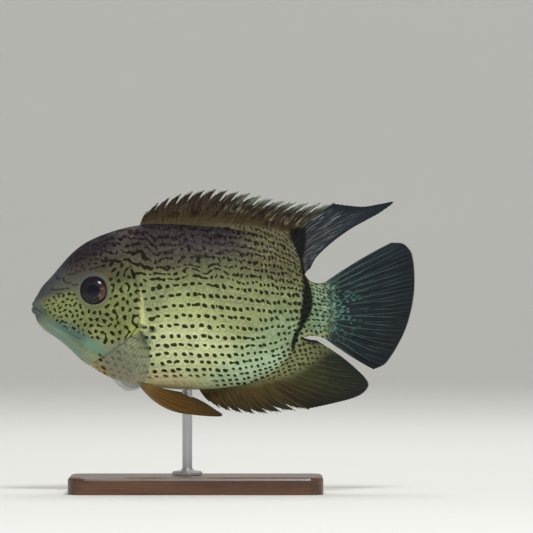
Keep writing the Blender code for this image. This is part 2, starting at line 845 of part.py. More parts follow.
def dress(part, colour, rough=0.5, metal=0.0):
    """Gives a part its own material, and smooth shading where it is round."""
    finish = bpy.data.materials.new(part.name)
    finish.use_nodes = True
    shader = finish.node_tree.nodes["Principled BSDF"]
    shader.inputs["Base Color"].default_value = colour
    shader.inputs["Roughness"].default_value = rough
    shader.inputs["Metallic"].default_value = metal
    part.data.materials.clear()
    part.data.materials.append(finish)
    part.data.shade_smooth()
    part.data.set_sharp_from_angle(angle=math.radians(35))


def main():
    """Builds every part of the fish and its stand."""
    for old in list(bpy.data.objects):
        bpy.data.objects.remove(old)
    skin = whole_skin()
    dress(make_head(), FISH_OLIVE, 0.4)
    dress(make_torso(), FISH_GREEN, 0.35)
    dress(make_stem(), FISH_GREEN, 0.35)
    for eye in make_eyes():
        dress(eye, EYE_DARK, 0.08)
    for part in make_dorsal(skin):
        dress(part, FIN_BROWN, 0.5)
    for part in make_anal(skin):
        dress(part, FIN_AMBER, 0.5)
    dress(make_tail(skin), FIN_SMOKE, 0.5)
    for part in make_paired(skin):
        dress(part, FIN_AMBER if "pelvic" in part.name else FIN_CLEAR, 0.5)
    dress(make_base(), WALNUT, 0.35)
    dress(make_rod(skin), STEEL, 0.28, 1.0)


main()
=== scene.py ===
"""The looks of a display model of a severum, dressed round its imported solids.

Sizes and places are in millimetres: x is the distance behind the snout, y the distance from the middle
plane, negative to the fish's left, and z the height above the body's long axis. The scene is in metres.
Colours are written as a painter would mix them, red, green and blue from 0 to 255.
"""

import logging
import math
from collections.abc import Callable, Iterable, Sequence
from dataclasses import dataclass
from enum import Enum
from typing import ClassVar

import bmesh
import bpy
import numpy as np
from mathutils import Matrix, Vector

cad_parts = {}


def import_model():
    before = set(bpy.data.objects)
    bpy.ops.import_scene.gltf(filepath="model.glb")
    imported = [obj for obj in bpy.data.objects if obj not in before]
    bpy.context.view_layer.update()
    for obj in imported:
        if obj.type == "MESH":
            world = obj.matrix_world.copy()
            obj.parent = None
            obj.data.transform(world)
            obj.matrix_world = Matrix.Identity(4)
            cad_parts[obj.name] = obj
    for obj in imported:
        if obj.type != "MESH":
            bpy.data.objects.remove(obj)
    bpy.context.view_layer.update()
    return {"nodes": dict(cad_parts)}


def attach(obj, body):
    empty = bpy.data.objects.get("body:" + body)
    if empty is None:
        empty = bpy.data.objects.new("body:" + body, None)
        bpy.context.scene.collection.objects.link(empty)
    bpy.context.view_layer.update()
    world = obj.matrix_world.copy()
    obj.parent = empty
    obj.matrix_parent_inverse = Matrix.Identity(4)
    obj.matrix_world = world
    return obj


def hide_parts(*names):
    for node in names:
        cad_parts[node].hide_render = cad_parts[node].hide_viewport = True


Array = np.ndarray
Colour = tuple[float, float, float]
Table = Sequence[Sequence[float]]
Stops = Sequence[tuple[float, Colour]]

MM = 0.001
SNOUT_X = -84.8
AXIS_HEIGHT = 95.1

# The photo's own scale: millimetres to a pixel, and the pixel of the snout's tip and of the long axis
PHOTO_PIXEL = 0.52
SNOUT_PIXEL = 33.0
AXIS_PIXEL = 310.0

# The body: distance behind the snout, back above the axis, belly below it, half width
STATIONS = (
    (0.5, 3.9, -1.7, 2.6), (2.0, 7.3, -6.0, 4.6), (4.6, 11.2, -9.6, 6.1), (8.8, 16.5, -12.6, 7.9),
    (14.0, 22.9, -16.1, 9.6), (19.2, 28.7, -20.6, 11.0), (24.4, 33.2, -25.2, 12.1),
    (29.6, 36.4, -29.2, 13.1), (40.0, 40.6, -35.2, 15.2), (50.4, 43.4, -38.4, 16.7),
    (62.0, 44.9, -40.2, 17.4), (76.4, 44.6, -41.4, 17.2), (90.0, 43.7, -41.4, 16.2),
    (104.0, 42.5, -40.0, 14.2), (115.4, 40.9, -37.2, 11.8), (125.8, 37.4, -32.0, 9.2),
    (133.0, 31.5, -24.6, 7.3), (138.6, 23.8, -16.6, 5.9), (143.0, 16.4, -13.8, 5.0),
    (148.0, 14.0, -14.0, 3.9), (152.0, 14.6, -15.0, 2.6), (156.5, 14.9, -15.4, 0.5),
)

# The gill cover's edge, from the nape to the throat
GILL_EDGE = (
    (46.5, 60.0), (48.4, 40.0), (48.8, 30.0), (51.0, 20.0), (54.3, 10.0), (55.6, 1.0), (54.4, -7.0),
    (51.0, -13.0), (45.2, -18.2), (39.0, -22.4), (33.0, -26.4), (26.5, -32.0), (18.0, -46.0),
)

# Rows of scales in the photo's pixels: the place across, then the height of rows 1, 4, 7, 10, 13, 16 and 19
ROW_STEP = 3
ROW_HEIGHTS = (
    (100, 242, 264, 288, 312, 338, 360, 378),
    (120, 235, 262, 290, 315, 343, 366, 382),
    (140, 230, 259, 291, 318, 348, 372, 386),
    (165, 231, 261, 288, 316.5, 345, 370, 384),
    (185, 230, 259, 284.8, 315.6, 344.8, 369.4, 385),
    (205, 230, 258, 284.2, 315.4, 346.2, 369.3, 385.6),
    (230, 232, 260, 288, 317.2, 346.2, 369.6, 384.5),
    (250, 236, 262.5, 290.3, 319.2, 346.3, 366.8, 382),
    (275, 244, 266, 294, 319.6, 342.8, 360.5, 373),
    (290, 252.5, 271, 295, 319, 337.5, 353.5, 366),
    (305, 262, 278.5, 296, 315, 332.5, 349, 364),
    (325, 268, 285.5, 301, 316, 331.5, 348, 364),
)
COLUMN_PITCH = (
    (100, 7.0), (140, 8.0), (170, 8.3), (200, 7.6), (230, 7.2), (250, 5.9), (280, 5.2), (300, 5.0),
    (325, 4.8),
)

# Lines in the photo's pixels, the place across and then the place down: the brow, the top and the foot of
# the cheek's dots, and how far the body's scales reach out over the back fin and the belly fin
BROW_LINE = ((34, 303), (48, 294), (66, 286), (80, 282), (94, 277), (108, 268), (124, 254), (140, 238))
CHEEK_TOP = ((38, 304), (50, 297), (62, 291.5), (72, 290.5), (84, 288), (112, 288))
CHEEK_FOOT = ((40, 309), (48, 315), (64, 327), (82, 334.5), (98, 341), (112, 349), (128, 360))
DORSAL_SCALES = ((190, 222), (215, 223), (235, 225), (255, 227), (275, 229), (290, 233), (300, 241))
ANAL_SCALES = ((225, 388), (250, 383.5), (270, 379), (290, 373), (305, 367), (318, 359), (330, 350))

# The few long dark lines of the snout, each a run of places
SNOUT_LINES = (
    ((63.6, 277.6), (63.9, 280.2), (65.6, 282.8), (68.2, 283.3), (71.3, 282.2)),
    ((51.0, 289.4), (55.5, 289.7), (60.1, 289.4), (64.7, 288.7), (69.6, 288.1)),
    ((72.8, 284.8), (75.6, 285.4), (78.5, 283.9)), ((56.4, 276.4), (57.6, 279.0), (60.2, 278.2)),
    ((68.2, 274.4), (72.8, 273.9), (78.0, 272.1), (81.4, 270.4)),
    ((56.0, 293.9), (60.5, 293.4), (64.0, 294.1)),
)

# Washes of colour over the flank's ground: colour, middle, reach, tilt in degrees and strength
WASHES = (
    ((182, 202, 154), (110, -23), (20, 9), 14, 0.75), ((152, 178, 140), (127, -16), (18, 13), 30, 0.6),
    ((190, 198, 138), (73, -5), (24, 11), 0, 0.6), ((216, 224, 170), (79, -21), (29, 16), -4, 0.85),
    ((190, 216, 178), (113, -31), (27, 8), 16, 0.9), ((58, 50, 44), (69, 27), (24, 7), 0, 0.5),
    ((66, 62, 48), (42, 21), (14, 8), -20, 0.6), ((128, 135, 95), (59, 6), (14, 9), 0, 0.65),
    ((134, 140, 99), (112, 8), (22, 8), 0, 0.75), ((160, 166, 108), (36, -14), (9, 7), -25, 0.7),
    ((214, 202, 158), (64, -37), (25, 6), 0, 0.75), ((86, 80, 54), (124, 26), (19, 11), -35, 0.65),
    ((124, 150, 116), (148, 0), (9, 15), 0, 0.85), ((74, 78, 76), (8, 14), (11, 9), 40, 1.0),
    ((64, 62, 72), (8, 17), (13, 5), 48, 0.7), ((88, 90, 80), (18, 12.5), (9, 4), 20, 0.7),
    ((130, 139, 90), (20, 0), (15, 8), -10, 0.9), ((126, 133, 80), (44, 0), (12, 14), 0, 0.9),
    ((94, 120, 106), (19, -11), (15, 4.2), -25, 1.0), ((118, 156, 134), (32, -19), (8, 4), -22, 0.85),
    ((90, 100, 98), (2, -1), (4, 7), 0, 1.0), ((152, 162, 122), (33, -27), (10, 4), -36, 0.9),
    ((128, 152, 136), (16, -17), (18, 5.2), -41, 1.0),
    ((70, 82, 74), (5.6, -1.0), (3.6, 2.2), -34, 0.6), ((176, 146, 102), (36, -32), (9, 2.2), -32, 0.8),
    ((156, 140, 96), (44, -32), (12, 6), -30, 0.7), ((216, 216, 146), (56.6, 1), (1.3, 11), 3, 0.95),
    ((206, 208, 124), (52.6, -10.8), (1.2, 4.6), -38, 0.85),
    ((20, 22, 16), (62.4, -10.4), (2.0, 1.7), 0, 0.95),
    ((26, 28, 20), (55.8, -8.4), (2.4, 1.4), 0, 0.95), ((170, 174, 96), (53, -11), (5, 4), 40, 0.7),
    ((112, 136, 116), (60.6, -14.6), (1.6, 4.6), 12, 0.7),
    ((48, 54, 60), (57.6, -14.6), (2.0, 5.0), 25, 0.9),
    ((92, 94, 70), (31.8, 10.1), (11.0, 11.0), 0, 0.5),
)

# The fold between cheek and gill cover, x and z, and the eye ring's section, radius and height
CHEEK_FOLD = ((12, 12), (42, 12), (43.6, 0), (41, -10), (34, -17), (24, -19.5))
EYE_RING = (
    (7.0, -1.6), (7.1, -0.9), (7.18, -0.4), (7.32, 0.0), (7.6, 0.24), (8.0, 0.28), (8.5, 0.18), (9.0, 0.02),
    (9.7, -0.16), (10.5, -0.5), (8.6, -1.9),
)

# Tips of the fins' rays: the ray's number, then x and z, and on the paired fins x, y outward and z
DORSAL_SPINE_TIPS = (
    (0, 59.6, 51.6), (1, 65.2, 55.8), (3, 77.0, 60.4), (6, 95.2, 62.8), (9, 112.8, 60.7),
    (12, 130.6, 56.6), (15, 149.4, 55.5),
)
DORSAL_RAY_TIPS = (
    (0, 156.6, 55.6), (2, 173.0, 54.0), (4, 188.4, 56.4), (5, 181.4, 51.0), (7, 166.6, 42.9),
    (9, 155.0, 34.6), (11, 146.8, 26.6), (12, 144.2, 21.6),
)
ANAL_SPINE_TIPS = (
    (0, 91.8, -47.6), (1, 97.2, -51.0), (3, 108.7, -53.6), (5, 122.0, -53.8), (7, 136.4, -52.4),
)
ANAL_RAY_TIPS = (
    (0, 143.6, -51.5), (2, 158.0, -48.4), (4, 170.4, -44.6), (6, 175.2, -38.6), (8, 169.4, -31.4),
    (10, 159.6, -23.4), (12, 147.6, -15.8),
)
TAIL_TIPS = (
    (0, 187.0, 35.2), (1, 193.0, 34.8), (2, 197.0, 31.0), (4, 199.0, 22.0), (7, 198.8, 7.4),
    (10, 195.4, -7.6), (12, 190.6, -18.2), (14, 183.4, -28.6), (15, 177.6, -31.2),
)
PELVIC_TIPS = (
    (0, 83.6, 10.4, -54.0), (1, 98.6, 12.6, -55.0), (2, 94.6, 13.4, -51.6), (3, 89.2, 13.6, -48.2),
    (4, 83.2, 13.2, -45.4), (5, 77.0, 12.2, -43.0),
)
PECTORAL_TIPS = (
    (0, 37.4, 38.0, -18.6), (2, 37.6, 42.0, -25.0), (4, 39.6, 43.0, -31.6), (6, 43.4, 41.6, -37.4),
    (8, 49.2, 37.6, -41.6), (10, 55.6, 32.0, -40.4), (11, 58.6, 28.0, -37.0),
)

# The black band's edges in the photo's pixels: the place down, then the place across
BAND_FRONT = (
    (232, 289.5), (240, 291), (250, 296), (262, 300), (280, 303), (300, 302), (315, 300), (328, 297),
    (340, 292), (352, 290),
)
BAND_REAR = (
    (232, 306), (250, 305), (260, 303), (275, 306), (290, 312), (310, 312), (322, 307), (332, 300),
    (352, 294),
)

EYE_PLACE = (31.8, 10.1)
NOSTRIL_PLACE = (15.6, 15.4)
GAPE_FRONT = (-0.4, 1.6)
GAPE_SLOPE = 0.667

log = logging.getLogger("severum")


class Side(Enum):
    """The fish's own left and right."""

    LEFT = -1
    RIGHT = 1

    @property
    def word(self) -> str:
        """The side's name in a piece's name."""
        return self.name.lower()


def between(low: float | Array, high: float | Array, share: float | Array) -> float | Array:
    """The value at a share of the way from low to high."""
    return low + (high - low) * share


def smooth_step(low: float, high: float, value: float | Array) -> float | Array:
    """0 below low, 1 above high, and an even rise between them."""
    t = np.clip((value - low) / (high - low), 0, 1)
    return t * t * (3 - 2 * t)


def bell(value: float | Array, width: float) -> float | Array:
    """A smooth hill, 1 at 0 and nearly gone at twice its width."""
    return np.exp(-((value / width) ** 2))


def curve(first: Array, last: Array, start: Array, end: Array, t: Array) -> Array:
    """A smooth curve, at a share t of the way, between two values with a slope at each."""
    leave = first * (2 * t**3 - 3 * t**2 + 1) + start * (t**3 - 2 * t**2 + t)
    return leave + last * (3 * t**2 - 2 * t**3) + end * (t**3 - t**2)


def along(table: Table, column: int, at: float | Array, key: int = 0) -> Array:
    """Reads a column of a table on a smooth curve through its rows.

    Args:
        table: Rows of numbers, in the order of the key column.
        column: The column to read.
        at: Values of the key column to read it at.
        key: The key column.

    Returns:
        The column's values there.
    """
    keys = np.array([row[key] for row in table], float)
    values = np.array([row[column] for row in table], float)
    if keys[0] > keys[-1]:
        keys, values = keys[::-1], values[::-1]
    at = np.clip(np.asarray(at, float), keys[0], keys[-1])
    low = np.clip(np.searchsorted(keys, at, side="left") - 1, 0, len(keys) - 2)
    index = np.arange(len(keys))
    before, after = np.maximum(index - 1, 0), np.minimum(index + 1, len(keys) - 1)
    slopes = (values[after] - values[before]) / (keys[after] - keys[before])
    step = keys[low + 1] - keys[low]
    ends = slopes[low] * step, slopes[low + 1] * step
    return curve(values[low], values[low + 1], *ends, (at - keys[low]) / step)


def unit(vectors: Array) -> Array:
    """Vectors of length one."""
    return vectors / np.maximum(np.linalg.norm(vectors, axis=-1, keepdims=True), 1e-9)


def to_scene(points: Array) -> Array:
    """From places on the fish, in millimetres, to the scene, in metres."""
    return (points + np.array([SNOUT_X, 0.0, AXIS_HEIGHT])) * MM


def photo_place(x: Array, z: Array) -> tuple[Array, Array]:
    """From places on the fish to the photo's pixels."""
    return x / PHOTO_PIXEL + SNOUT_PIXEL, AXIS_PIXEL - z / PHOTO_PIXEL


def from_photo(across: Array, down: Array) -> tuple[Array, Array]:
    """From the photo's pixels to places on the fish."""
    return (across - SNOUT_PIXEL) * PHOTO_PIXEL, (AXIS_PIXEL - down) * PHOTO_PIXEL


def linear(colour: Colour) -> Array:
    """A mixed colour as the light it gives back."""
    share = np.array(colour, float) / 255
    return np.where(share <= 0.04045, share / 12.92, ((share + 0.055) / 1.055) ** 2.4)


def mixed(first: Array, second: Array | Colour, share: Array) -> Array:
    """Colours a share of the way from the first to the second."""
    last = linear(second) if isinstance(second, tuple) else second
    return first + (last - first) * share[..., None]


def blended(stops: Stops, value: Array) -> Array:
    """Reads a run of colours along a value.

    Args:
        stops: Values and the colours at them, in rising order.
        value: Where to read it.

    Returns:
        The colours there, as light.
    """
    keys = [stop[0] for stop in stops]
    tones = np.array([linear(stop[1]) for stop in stops])
    return np.stack([np.interp(value, keys, tones[:, i]) for i in range(3)], axis=-1)


@dataclass(frozen=True)
class Body:
    """The bare body's shape, as formulas of the distance behind the snout and the turn round it."""

    keel: float = 1.25
    belly_round: float = 0.92
    widest_share: float = 0.55
    sway_start: float = 95.0
    sway_length: float = 105.0
    sway: float = 6.5
    probe: float = 0.4

    def middle(self, x: Array) -> Array:
        """How far the middle plane swings to the fish's right."""
        return self.sway * (np.maximum(0.0, x - self.sway_start) / self.sway_length) ** 2

    def back(self, x: Array) -> Array:
        """The height of the back."""
        return along(STATIONS, 1, x)

    def belly(self, x: Array) -> Array:
        """The height of the belly's underside."""
        return along(STATIONS, 2, x)

    def section(self, x: Array, turn: Array) -> Array:
        """Points of the body's bare surface.

        Args:
            x: Distances behind the snout.
            turn: Turns round the body: 0 is the right flank, a quarter turn is the back.

        Returns:
            Places on the fish, one row each.
        """
        x, turn = np.broadcast_arrays(np.asarray(x, float), np.asarray(turn, float))
        rise, side = np.sin(turn), np.cos(turn)
        top, foot, width = self.back(x), self.belly(x), along(STATIONS, 3, x)
        widest = between(foot, top, self.widest_share)
        z = np.where(rise > 0, between(widest, top, rise), between(widest, foot, -rise))
        power = np.where(rise > 0, between(1.0, self.keel, smooth_step(0, 60, x)), self.belly_round)
        y = np.copysign(width * np.abs(side) ** power, side)
        return np.stack([x, self.middle(x) + y, z], axis=-1)

    def turn_at(self, x: Array, z: Array, side: Side) -> Array:
        """The turn round the body of a place on a flank.

        Args:
            x: Distances behind the snout.
            z: Heights above the long axis.
            side: Which flank.

        Returns:
            Turns round the body.
        """
        top, foot = self.back(x), self.belly(x)
        widest = between(foot, top, self.widest_share)
        share = np.where(z > widest, (z - widest) / (top - widest), (z - widest) / (widest - foot))
        turn = np.arcsin(np.clip(share, -0.999, 0.999))
        return turn if side is Side.RIGHT else math.pi - turn

    def out_of(self, x: Array, turn: Array) -> Array:
        """Directions straight out of the body's surface.

        Args:
            x: Distances behind the snout.
            turn: Turns round the body.

        Returns:
            Directions, one row each.
        """
        swing = self.probe / 30
        ahead = self.section(x + self.probe, turn) - self.section(x - self.probe, turn)
        round_it = self.section(x, turn + swing) - self.section(x, turn - swing)
        return unit(np.cross(round_it, ahead))

    def on_flank(self, x: Array, z: Array, side: Side, height: float | Array = 0.0) -> Array:
        """Places over a flank.

        Args:
            x: Distances behind the snout.
            z: Heights above the long axis.
            side: Which flank.
            height: How far out of the flank.

        Returns:
            Places on the fish, one row each.
        """
        x, z, height = np.broadcast_arrays(np.asarray(x, float), z, height)
        turn = self.turn_at(x, z, side)
        return self.section(x, turn) + self.out_of(x, turn) * height[..., None]

    def frame(self, x: float, z: float, side: Side) -> Matrix:
        """A frame on a flank whose Z axis points straight out of it, and its Y axis up.

        Args:
            x: Its distance behind the snout.
            z: Its height above the long axis.
            side: Which flank.

        Returns:
            The frame, in millimetres.
        """
        turn = self.turn_at(np.array(x), np.array(z), side)
        out = Vector(self.out_of(np.array(x), turn))
        up = out.cross(Vector((1, 0, 0))) * side.value
        up = up.normalized() if up.z > 0 else -up.normalized()
        right = up.cross(out).normalized()
        spin = Matrix((right, up, out)).transposed().to_4x4()
        return Matrix.Translation(Vector(self.section(np.array(x), turn))) @ spin


@dataclass(frozen=True)
class ScaleRows:
    """The net of scales: u counts its columns towards the tail, v its rows from the back down."""

    slant: float = 0.26
    slant_row: float = 10.0
    column_mark: tuple[float, float] = (207.0, 8.0)
    reach: tuple[float, float] = (60.0, 345.0)

    def counts(self) -> tuple[Array, Array]:
        """Counts the columns on the slant row.

        Returns:
            Places across the photo, and the count at each.
        """
        places = np.linspace(*self.reach, 571)
        rate = 1 / along(COLUMN_PITCH, 1, places)
        count = np.concatenate([[0], np.cumsum((rate[1:] + rate[:-1]) / 2 * np.diff(places))])
        pixel, number = self.column_mark
        return places, count - np.interp(pixel, places, count) + number

    def row_height(self, across: Array, v: Array) -> Array:
        """The photo's height of a row.

        Args:
            across: Places across the photo.
            v: Row numbers, whole or not.

        Returns:
            Pixels down the photo.
        """
        rows = np.stack([along(ROW_HEIGHTS, i, across) for i in range(1, len(ROW_HEIGHTS[0]))])
        count = len(rows)
        t = (v - 1) / ROW_STEP
        low = np.clip(np.floor(t).astype(int), 0, count - 2)
        inside = np.clip(t - low, 0, 1)

        def pick(index: Array) -> Array:
            """Each place's own row of the table."""
            return np.take_along_axis(rows, index[None], axis=0)[0]

        def slope(index: Array) -> Array:
            """The rise of the heights from row to row."""
            after, before = np.minimum(index + 1, count - 1), np.maximum(index - 1, 0)
            return (pick(after) - pick(before)) / (after - before)

        start, end = slope(low), slope(low + 1)
        beyond = t - low - inside
        inner = curve(pick(low), pick(low + 1), start, end, inside)
        return inner + beyond * np.where(beyond > 0, end, start)

    def place(self, u: Array, v: Array) -> tuple[Array, Array]:
        """The places of columns and rows on the flank.

        Args:
            u: Columns, whole or not.
            v: Rows, whole or not.

        Returns:
            Distances behind the snout, and heights above the long axis.
        """
        places, count = self.counts()
        across = np.interp(u + self.slant * (v - self.slant_row), count, places)
        return from_photo(across, self.row_height(across, v))

    def net(self, x: Array, z: Array) -> tuple[Array, Array]:
        """Where places on the flank lie on the net.

        Args:
            x: Distances behind the snout.
            z: Heights above the long axis.

        Returns:
            The column and the row of each, whole or not.
        """
        places, count = self.counts()
        across, down = photo_place(x, z)
        v = np.full(across.shape, self.slant_row)
        nudge, turns, least = 0.05, 7, 2.0
        for _ in range(turns):
            here = self.row_height(across, v)
            slope = (self.row_height(across, v + nudge) - here) / nudge
            v = np.clip(v + (down - here) / np.maximum(slope, least), -6, 26)
        u = np.interp(across, places, count) - self.slant * (v - self.slant_row)
        return u, v


@dataclass(frozen=True)
class Wash:
    """A soft-edged patch of colour laid over the body's ground."""

    colour: Colour
    place: tuple[float, float]
    reach: tuple[float, float]
    tilt: float
    strength: float

    def weight(self, x: Array, z: Array) -> Array:
        """How much of it shows at places on the flank.

        Args:
            x: Distances behind the snout.
            z: Heights above the long axis.

        Returns:
            0 where it doesn't reach, up to its strength.
        """
        turn = math.radians(self.tilt)
        dx, dz = x - self.place[0], z - self.place[1]
        run = dx * math.cos(turn) + dz * math.sin(turn)
        rise = dz * math.cos(turn) - dx * math.sin(turn)
        far = np.sqrt((run / self.reach[0]) ** 2 + (rise / self.reach[1]) ** 2)
        return self.strength * (1 - smooth_step(0.45, 1.25, far))


@dataclass(frozen=True)
class Livery:
    """The fish's own colours and where its marks lie, the same for the skin and every scale on it."""

    body: Body
    rows: ScaleRows
    flank: Colour = (160, 170, 116)
    upper: Colour = (112, 114, 80)
    nape: Colour = (54, 48, 48)
    crest: Colour = (43, 38, 43)
    head: Colour = (112, 119, 78)
    rear: Colour = (110, 125, 89)
    underside: Colour = (198, 198, 146)
    tail: Colour = (46, 58, 56)
    brow: Colour = (77, 72, 67)
    eye_rim: Colour = (112, 122, 102)
    eye_rim_top: Colour = (88, 86, 98)
    marks: Colour = (28, 28, 10)
    nape_marks: Colour = (26, 10, 8)
    rear_marks: Colour = (24, 44, 24)
    breast_marks: Colour = (104, 40, 22)
    brow_marks: Colour = (26, 16, 17)
    washes: tuple[Wash, ...] = tuple(Wash(*row) for row in WASHES)
    right_seed: float = 40.0

    def ground(self, x: Array, z: Array) -> Array:
        """The ground colour at places on the flank, before any mark.

        Args:
            x: Distances behind the snout.
            z: Heights above the long axis.

        Returns:
            Red, green and blue as light, one row each.
        """
        top, foot = self.body.back(x), self.body.belly(x)
        rise = (z - foot) / (top - foot)
        across, down = photo_place(x, z)
        above = down - along(BROW_LINE, 1, across)
        aft = 1 - 0.85 * smooth_step(98, 128, x)
        coats = (
            (self.head, 1 - smooth_step(40, 58, x)),
            (self.rear, smooth_step(100, 142, x) * 0.7),
            (self.underside, 1 - smooth_step(0.0, 0.14, rise)),
            (self.upper, smooth_step(0.52, 0.74, rise)),
            (self.nape, smooth_step(0.70, 0.90, rise) * aft),
            (self.crest, smooth_step(0.92, 1.0, rise) * aft),
            (self.brow, (1 - smooth_step(-7, 7, above)) * (1 - smooth_step(118, 142, across))),
            (self.crest, (1 - smooth_step(-26, -8, above)) * (1 - smooth_step(104, 134, across))),
            *((wash.colour, wash.weight(x, z)) for wash in self.washes),
            (self.tail, 1 - self.ahead_of_tail(x, z)),
        )
        tone = np.broadcast_to(linear(self.flank), x.shape + (3,))
        for colour, weight in coats:
            tone = mixed(tone, colour, weight)
        return self.ring_round_eye(tone, x, z)

    @staticmethod
    def ahead_of_tail(x: Array, z: Array) -> Array:
        """1 on the body, fading to 0 past a line that bows out into the tail fin's root."""
        return 1 - smooth_step(-5.0, 2.6, x - 153.6 - 2.2 * bell(z + 1.0, 9.0))

    def ring_round_eye(self, tone: Array, x: Array, z: Array) -> Array:
        """Lays the pale rim of the eye's socket over the ground, cooler and darker on top.

        Args:
            tone: The ground so far.
            x: Distances behind the snout.
            z: Heights above the long axis.

        Returns:
            The ground with the rim.
        """
        far = np.hypot(x - EYE_PLACE[0], z - EYE_PLACE[1])
        rim = np.broadcast_to(linear(self.eye_rim), tone.shape)
        rim = mixed(rim, self.eye_rim_top, smooth_step(-2, 6, z - EYE_PLACE[1]))
        return mixed(tone, rim, bell(far - 7.6, 0.9) * 0.7)

    def stroke_weight(self, x: Array, z: Array, half: float) -> Array:
        """How deep places lie in the few long dark lines of the snout.

        Args:
            x: Distances behind the snout.
            z: Heights above the long axis.
            half: Half a line's thickness.

        Returns:
            1 on a line, 0 off it.
        """
        near = np.full(x.shape, 99.0)
        for stroke in SNOUT_LINES:
            line_x, line_z = from_photo(*np.array(stroke, float).T)
            for i in range(len(stroke) - 1):
                run_x, run_z = line_x[i + 1] - line_x[i], line_z[i + 1] - line_z[i]
                way = ((x - line_x[i]) * run_x + (z - line_z[i]) * run_z) / (run_x**2 + run_z**2)
                way = np.clip(way, 0, 1)
                off = np.hypot(x - line_x[i] - run_x * way, z - line_z[i] - run_z * way)
                near = np.minimum(near, off)
        return 1 - smooth_step(half * 0.6, half * 1.5, near)

    def ink(self, x: Array, z: Array) -> Array:
        """The colour of the marks, and how strongly they show.

        Args:
            x: Distances behind the snout.
            z: Heights above the long axis.

        Returns:
            Red, green, blue and strength, one row each.
        """
        tone = np.broadcast_to(linear(self.marks), x.shape + (3,))
        tone = mixed(tone, self.nape_marks, smooth_step(14, 26, z))
        tone = mixed(tone, self.rear_marks, smooth_step(105, 130, x) * (1 - smooth_step(-6, 8, z)))
        breast = (1 - smooth_step(50, 60, x)) * (1 - smooth_step(-33, -28, z))
        tone = mixed(tone, self.breast_marks, breast)
        tone = mixed(tone, self.brow_marks, smooth_step(-2, 8, z - 10 + (30 - x) * 0.2) * (x < 46))
        return np.concatenate([tone, self.marked(x, z)[..., None]], axis=-1)

    def marked(self, x: Array, z: Array) -> Array:
        """How strongly the marks show.

        Args:
            x: Distances behind the snout.
            z: Heights above the long axis.

        Returns:
            0 where the skin is plain, 1 where the marks are full.
        """
        across, down = photo_place(x, z)
        above_foot = smooth_step(-1.5, 1.5, along(CHEEK_FOOT, 1, across) - down)
        cheek = smooth_step(-2, 2, down - along(CHEEK_TOP, 1, across)) * above_foot
        cheek *= smooth_step(37, 42, across) * (0.6 + 0.4 * smooth_step(42, 56, across))
        nape = smooth_step(54, 76, across) * smooth_step(-4, 2, 271 - down)
        nape *= 0.65 + 0.35 * smooth_step(84, 112, across)
        temple = smooth_step(106, 112, across) * smooth_step(-4, 2, down - 262) * above_foot
        breast = smooth_step(94, 100, across) * smooth_step(350, 356, down)
        body = smooth_step(136, 142, across)
        strength = np.maximum.reduce([cheek * (across < 112), nape, temple, breast, body])
        eye = np.hypot(x - EYE_PLACE[0], z - EYE_PLACE[1])
        strength = strength * smooth_step(8.6, 9.8, eye)
        bare_belly = smooth_step(374, 382, down) * (1 - smooth_step(200, 225, across))
        stripe = bell(across - 142.5, 2.2) * smooth_step(292, 298, down) * (1 - smooth_step(322, 330, down))
        covered = np.hypot((across - 135) / 13, (down - 357) / 24)
        strength = strength * (1 - 0.45 * (1 - smooth_step(0.7, 1.2, covered)))
        tail = 0.3 + 0.7 * self.ahead_of_tail(x, z)
        return strength * (1 - bare_belly) * (1 - 0.9 * stripe) * tail

    def band(self, across: Array, down: Array) -> Array:
        """How deep places lie inside the black band at the tail's root.

        Args:
            across: Places across the photo.
            down: Places down the photo.

        Returns:
            Depths in millimetres, negative outside it.
        """
        left, right = along(BAND_FRONT, 1, down), along(BAND_REAR, 1, down)
        inside = np.minimum(across - left, right - across)
        top, foot = BAND_FRONT[0][0] - 4, BAND_FRONT[-1][0]
        return np.minimum(inside, np.minimum(down - top, foot - down) * 0.5) * PHOTO_PIXEL

    def cheek_net(self, x: Array, z: Array) -> tuple[Array, Array]:
        """A net for the head's strokes, whose meshes grow from the snout to the gill cover.

        Args:
            x: Distances behind the snout.
            z: Heights above the long axis.

        Returns:
            The column and the row of each place.
        """
        pitch_near, pitch_far, near, far = 2.15, 3.8, 4.0, 50.0
        rate = (pitch_far - pitch_near) / (far - near)
        pitch = np.maximum(pitch_near + rate * (x - near), pitch_near * 0.6)
        return np.log(pitch / pitch_near) / rate, (z + 6.0) / pitch

    def seed(self, x: Array, right: Array | bool) -> Array:
        """A number for the marks' random draw, which isn't the same on both flanks."""
        return np.where(right, self.right_seed, 0.0) + np.zeros(x.shape)

    def paint(self, mesh: bpy.types.Mesh, x: Array, z: Array, right: Array | bool) -> None:
        """Stores the markings on a mesh's vertices.

        Args:
            mesh: The mesh to paint.
            x: Each vertex's distance behind the snout.
            z: Each vertex's height above the long axis.
            right: True where the vertex is on the fish's right.
        """
        self.net_marks(mesh, x, z, right)
        cheek_u, cheek_v = self.cheek_net(x, z)
        store(mesh, "cheek", np.stack([cheek_u, cheek_v, self.seed(x, right)], axis=-1))
        store(mesh, "ink", self.ink(x, z))
        store(mesh, "ground", self.ground(x, z))
        store(mesh, "cheek_lines", self.stroke_weight(x, z, 0.34)[..., None])

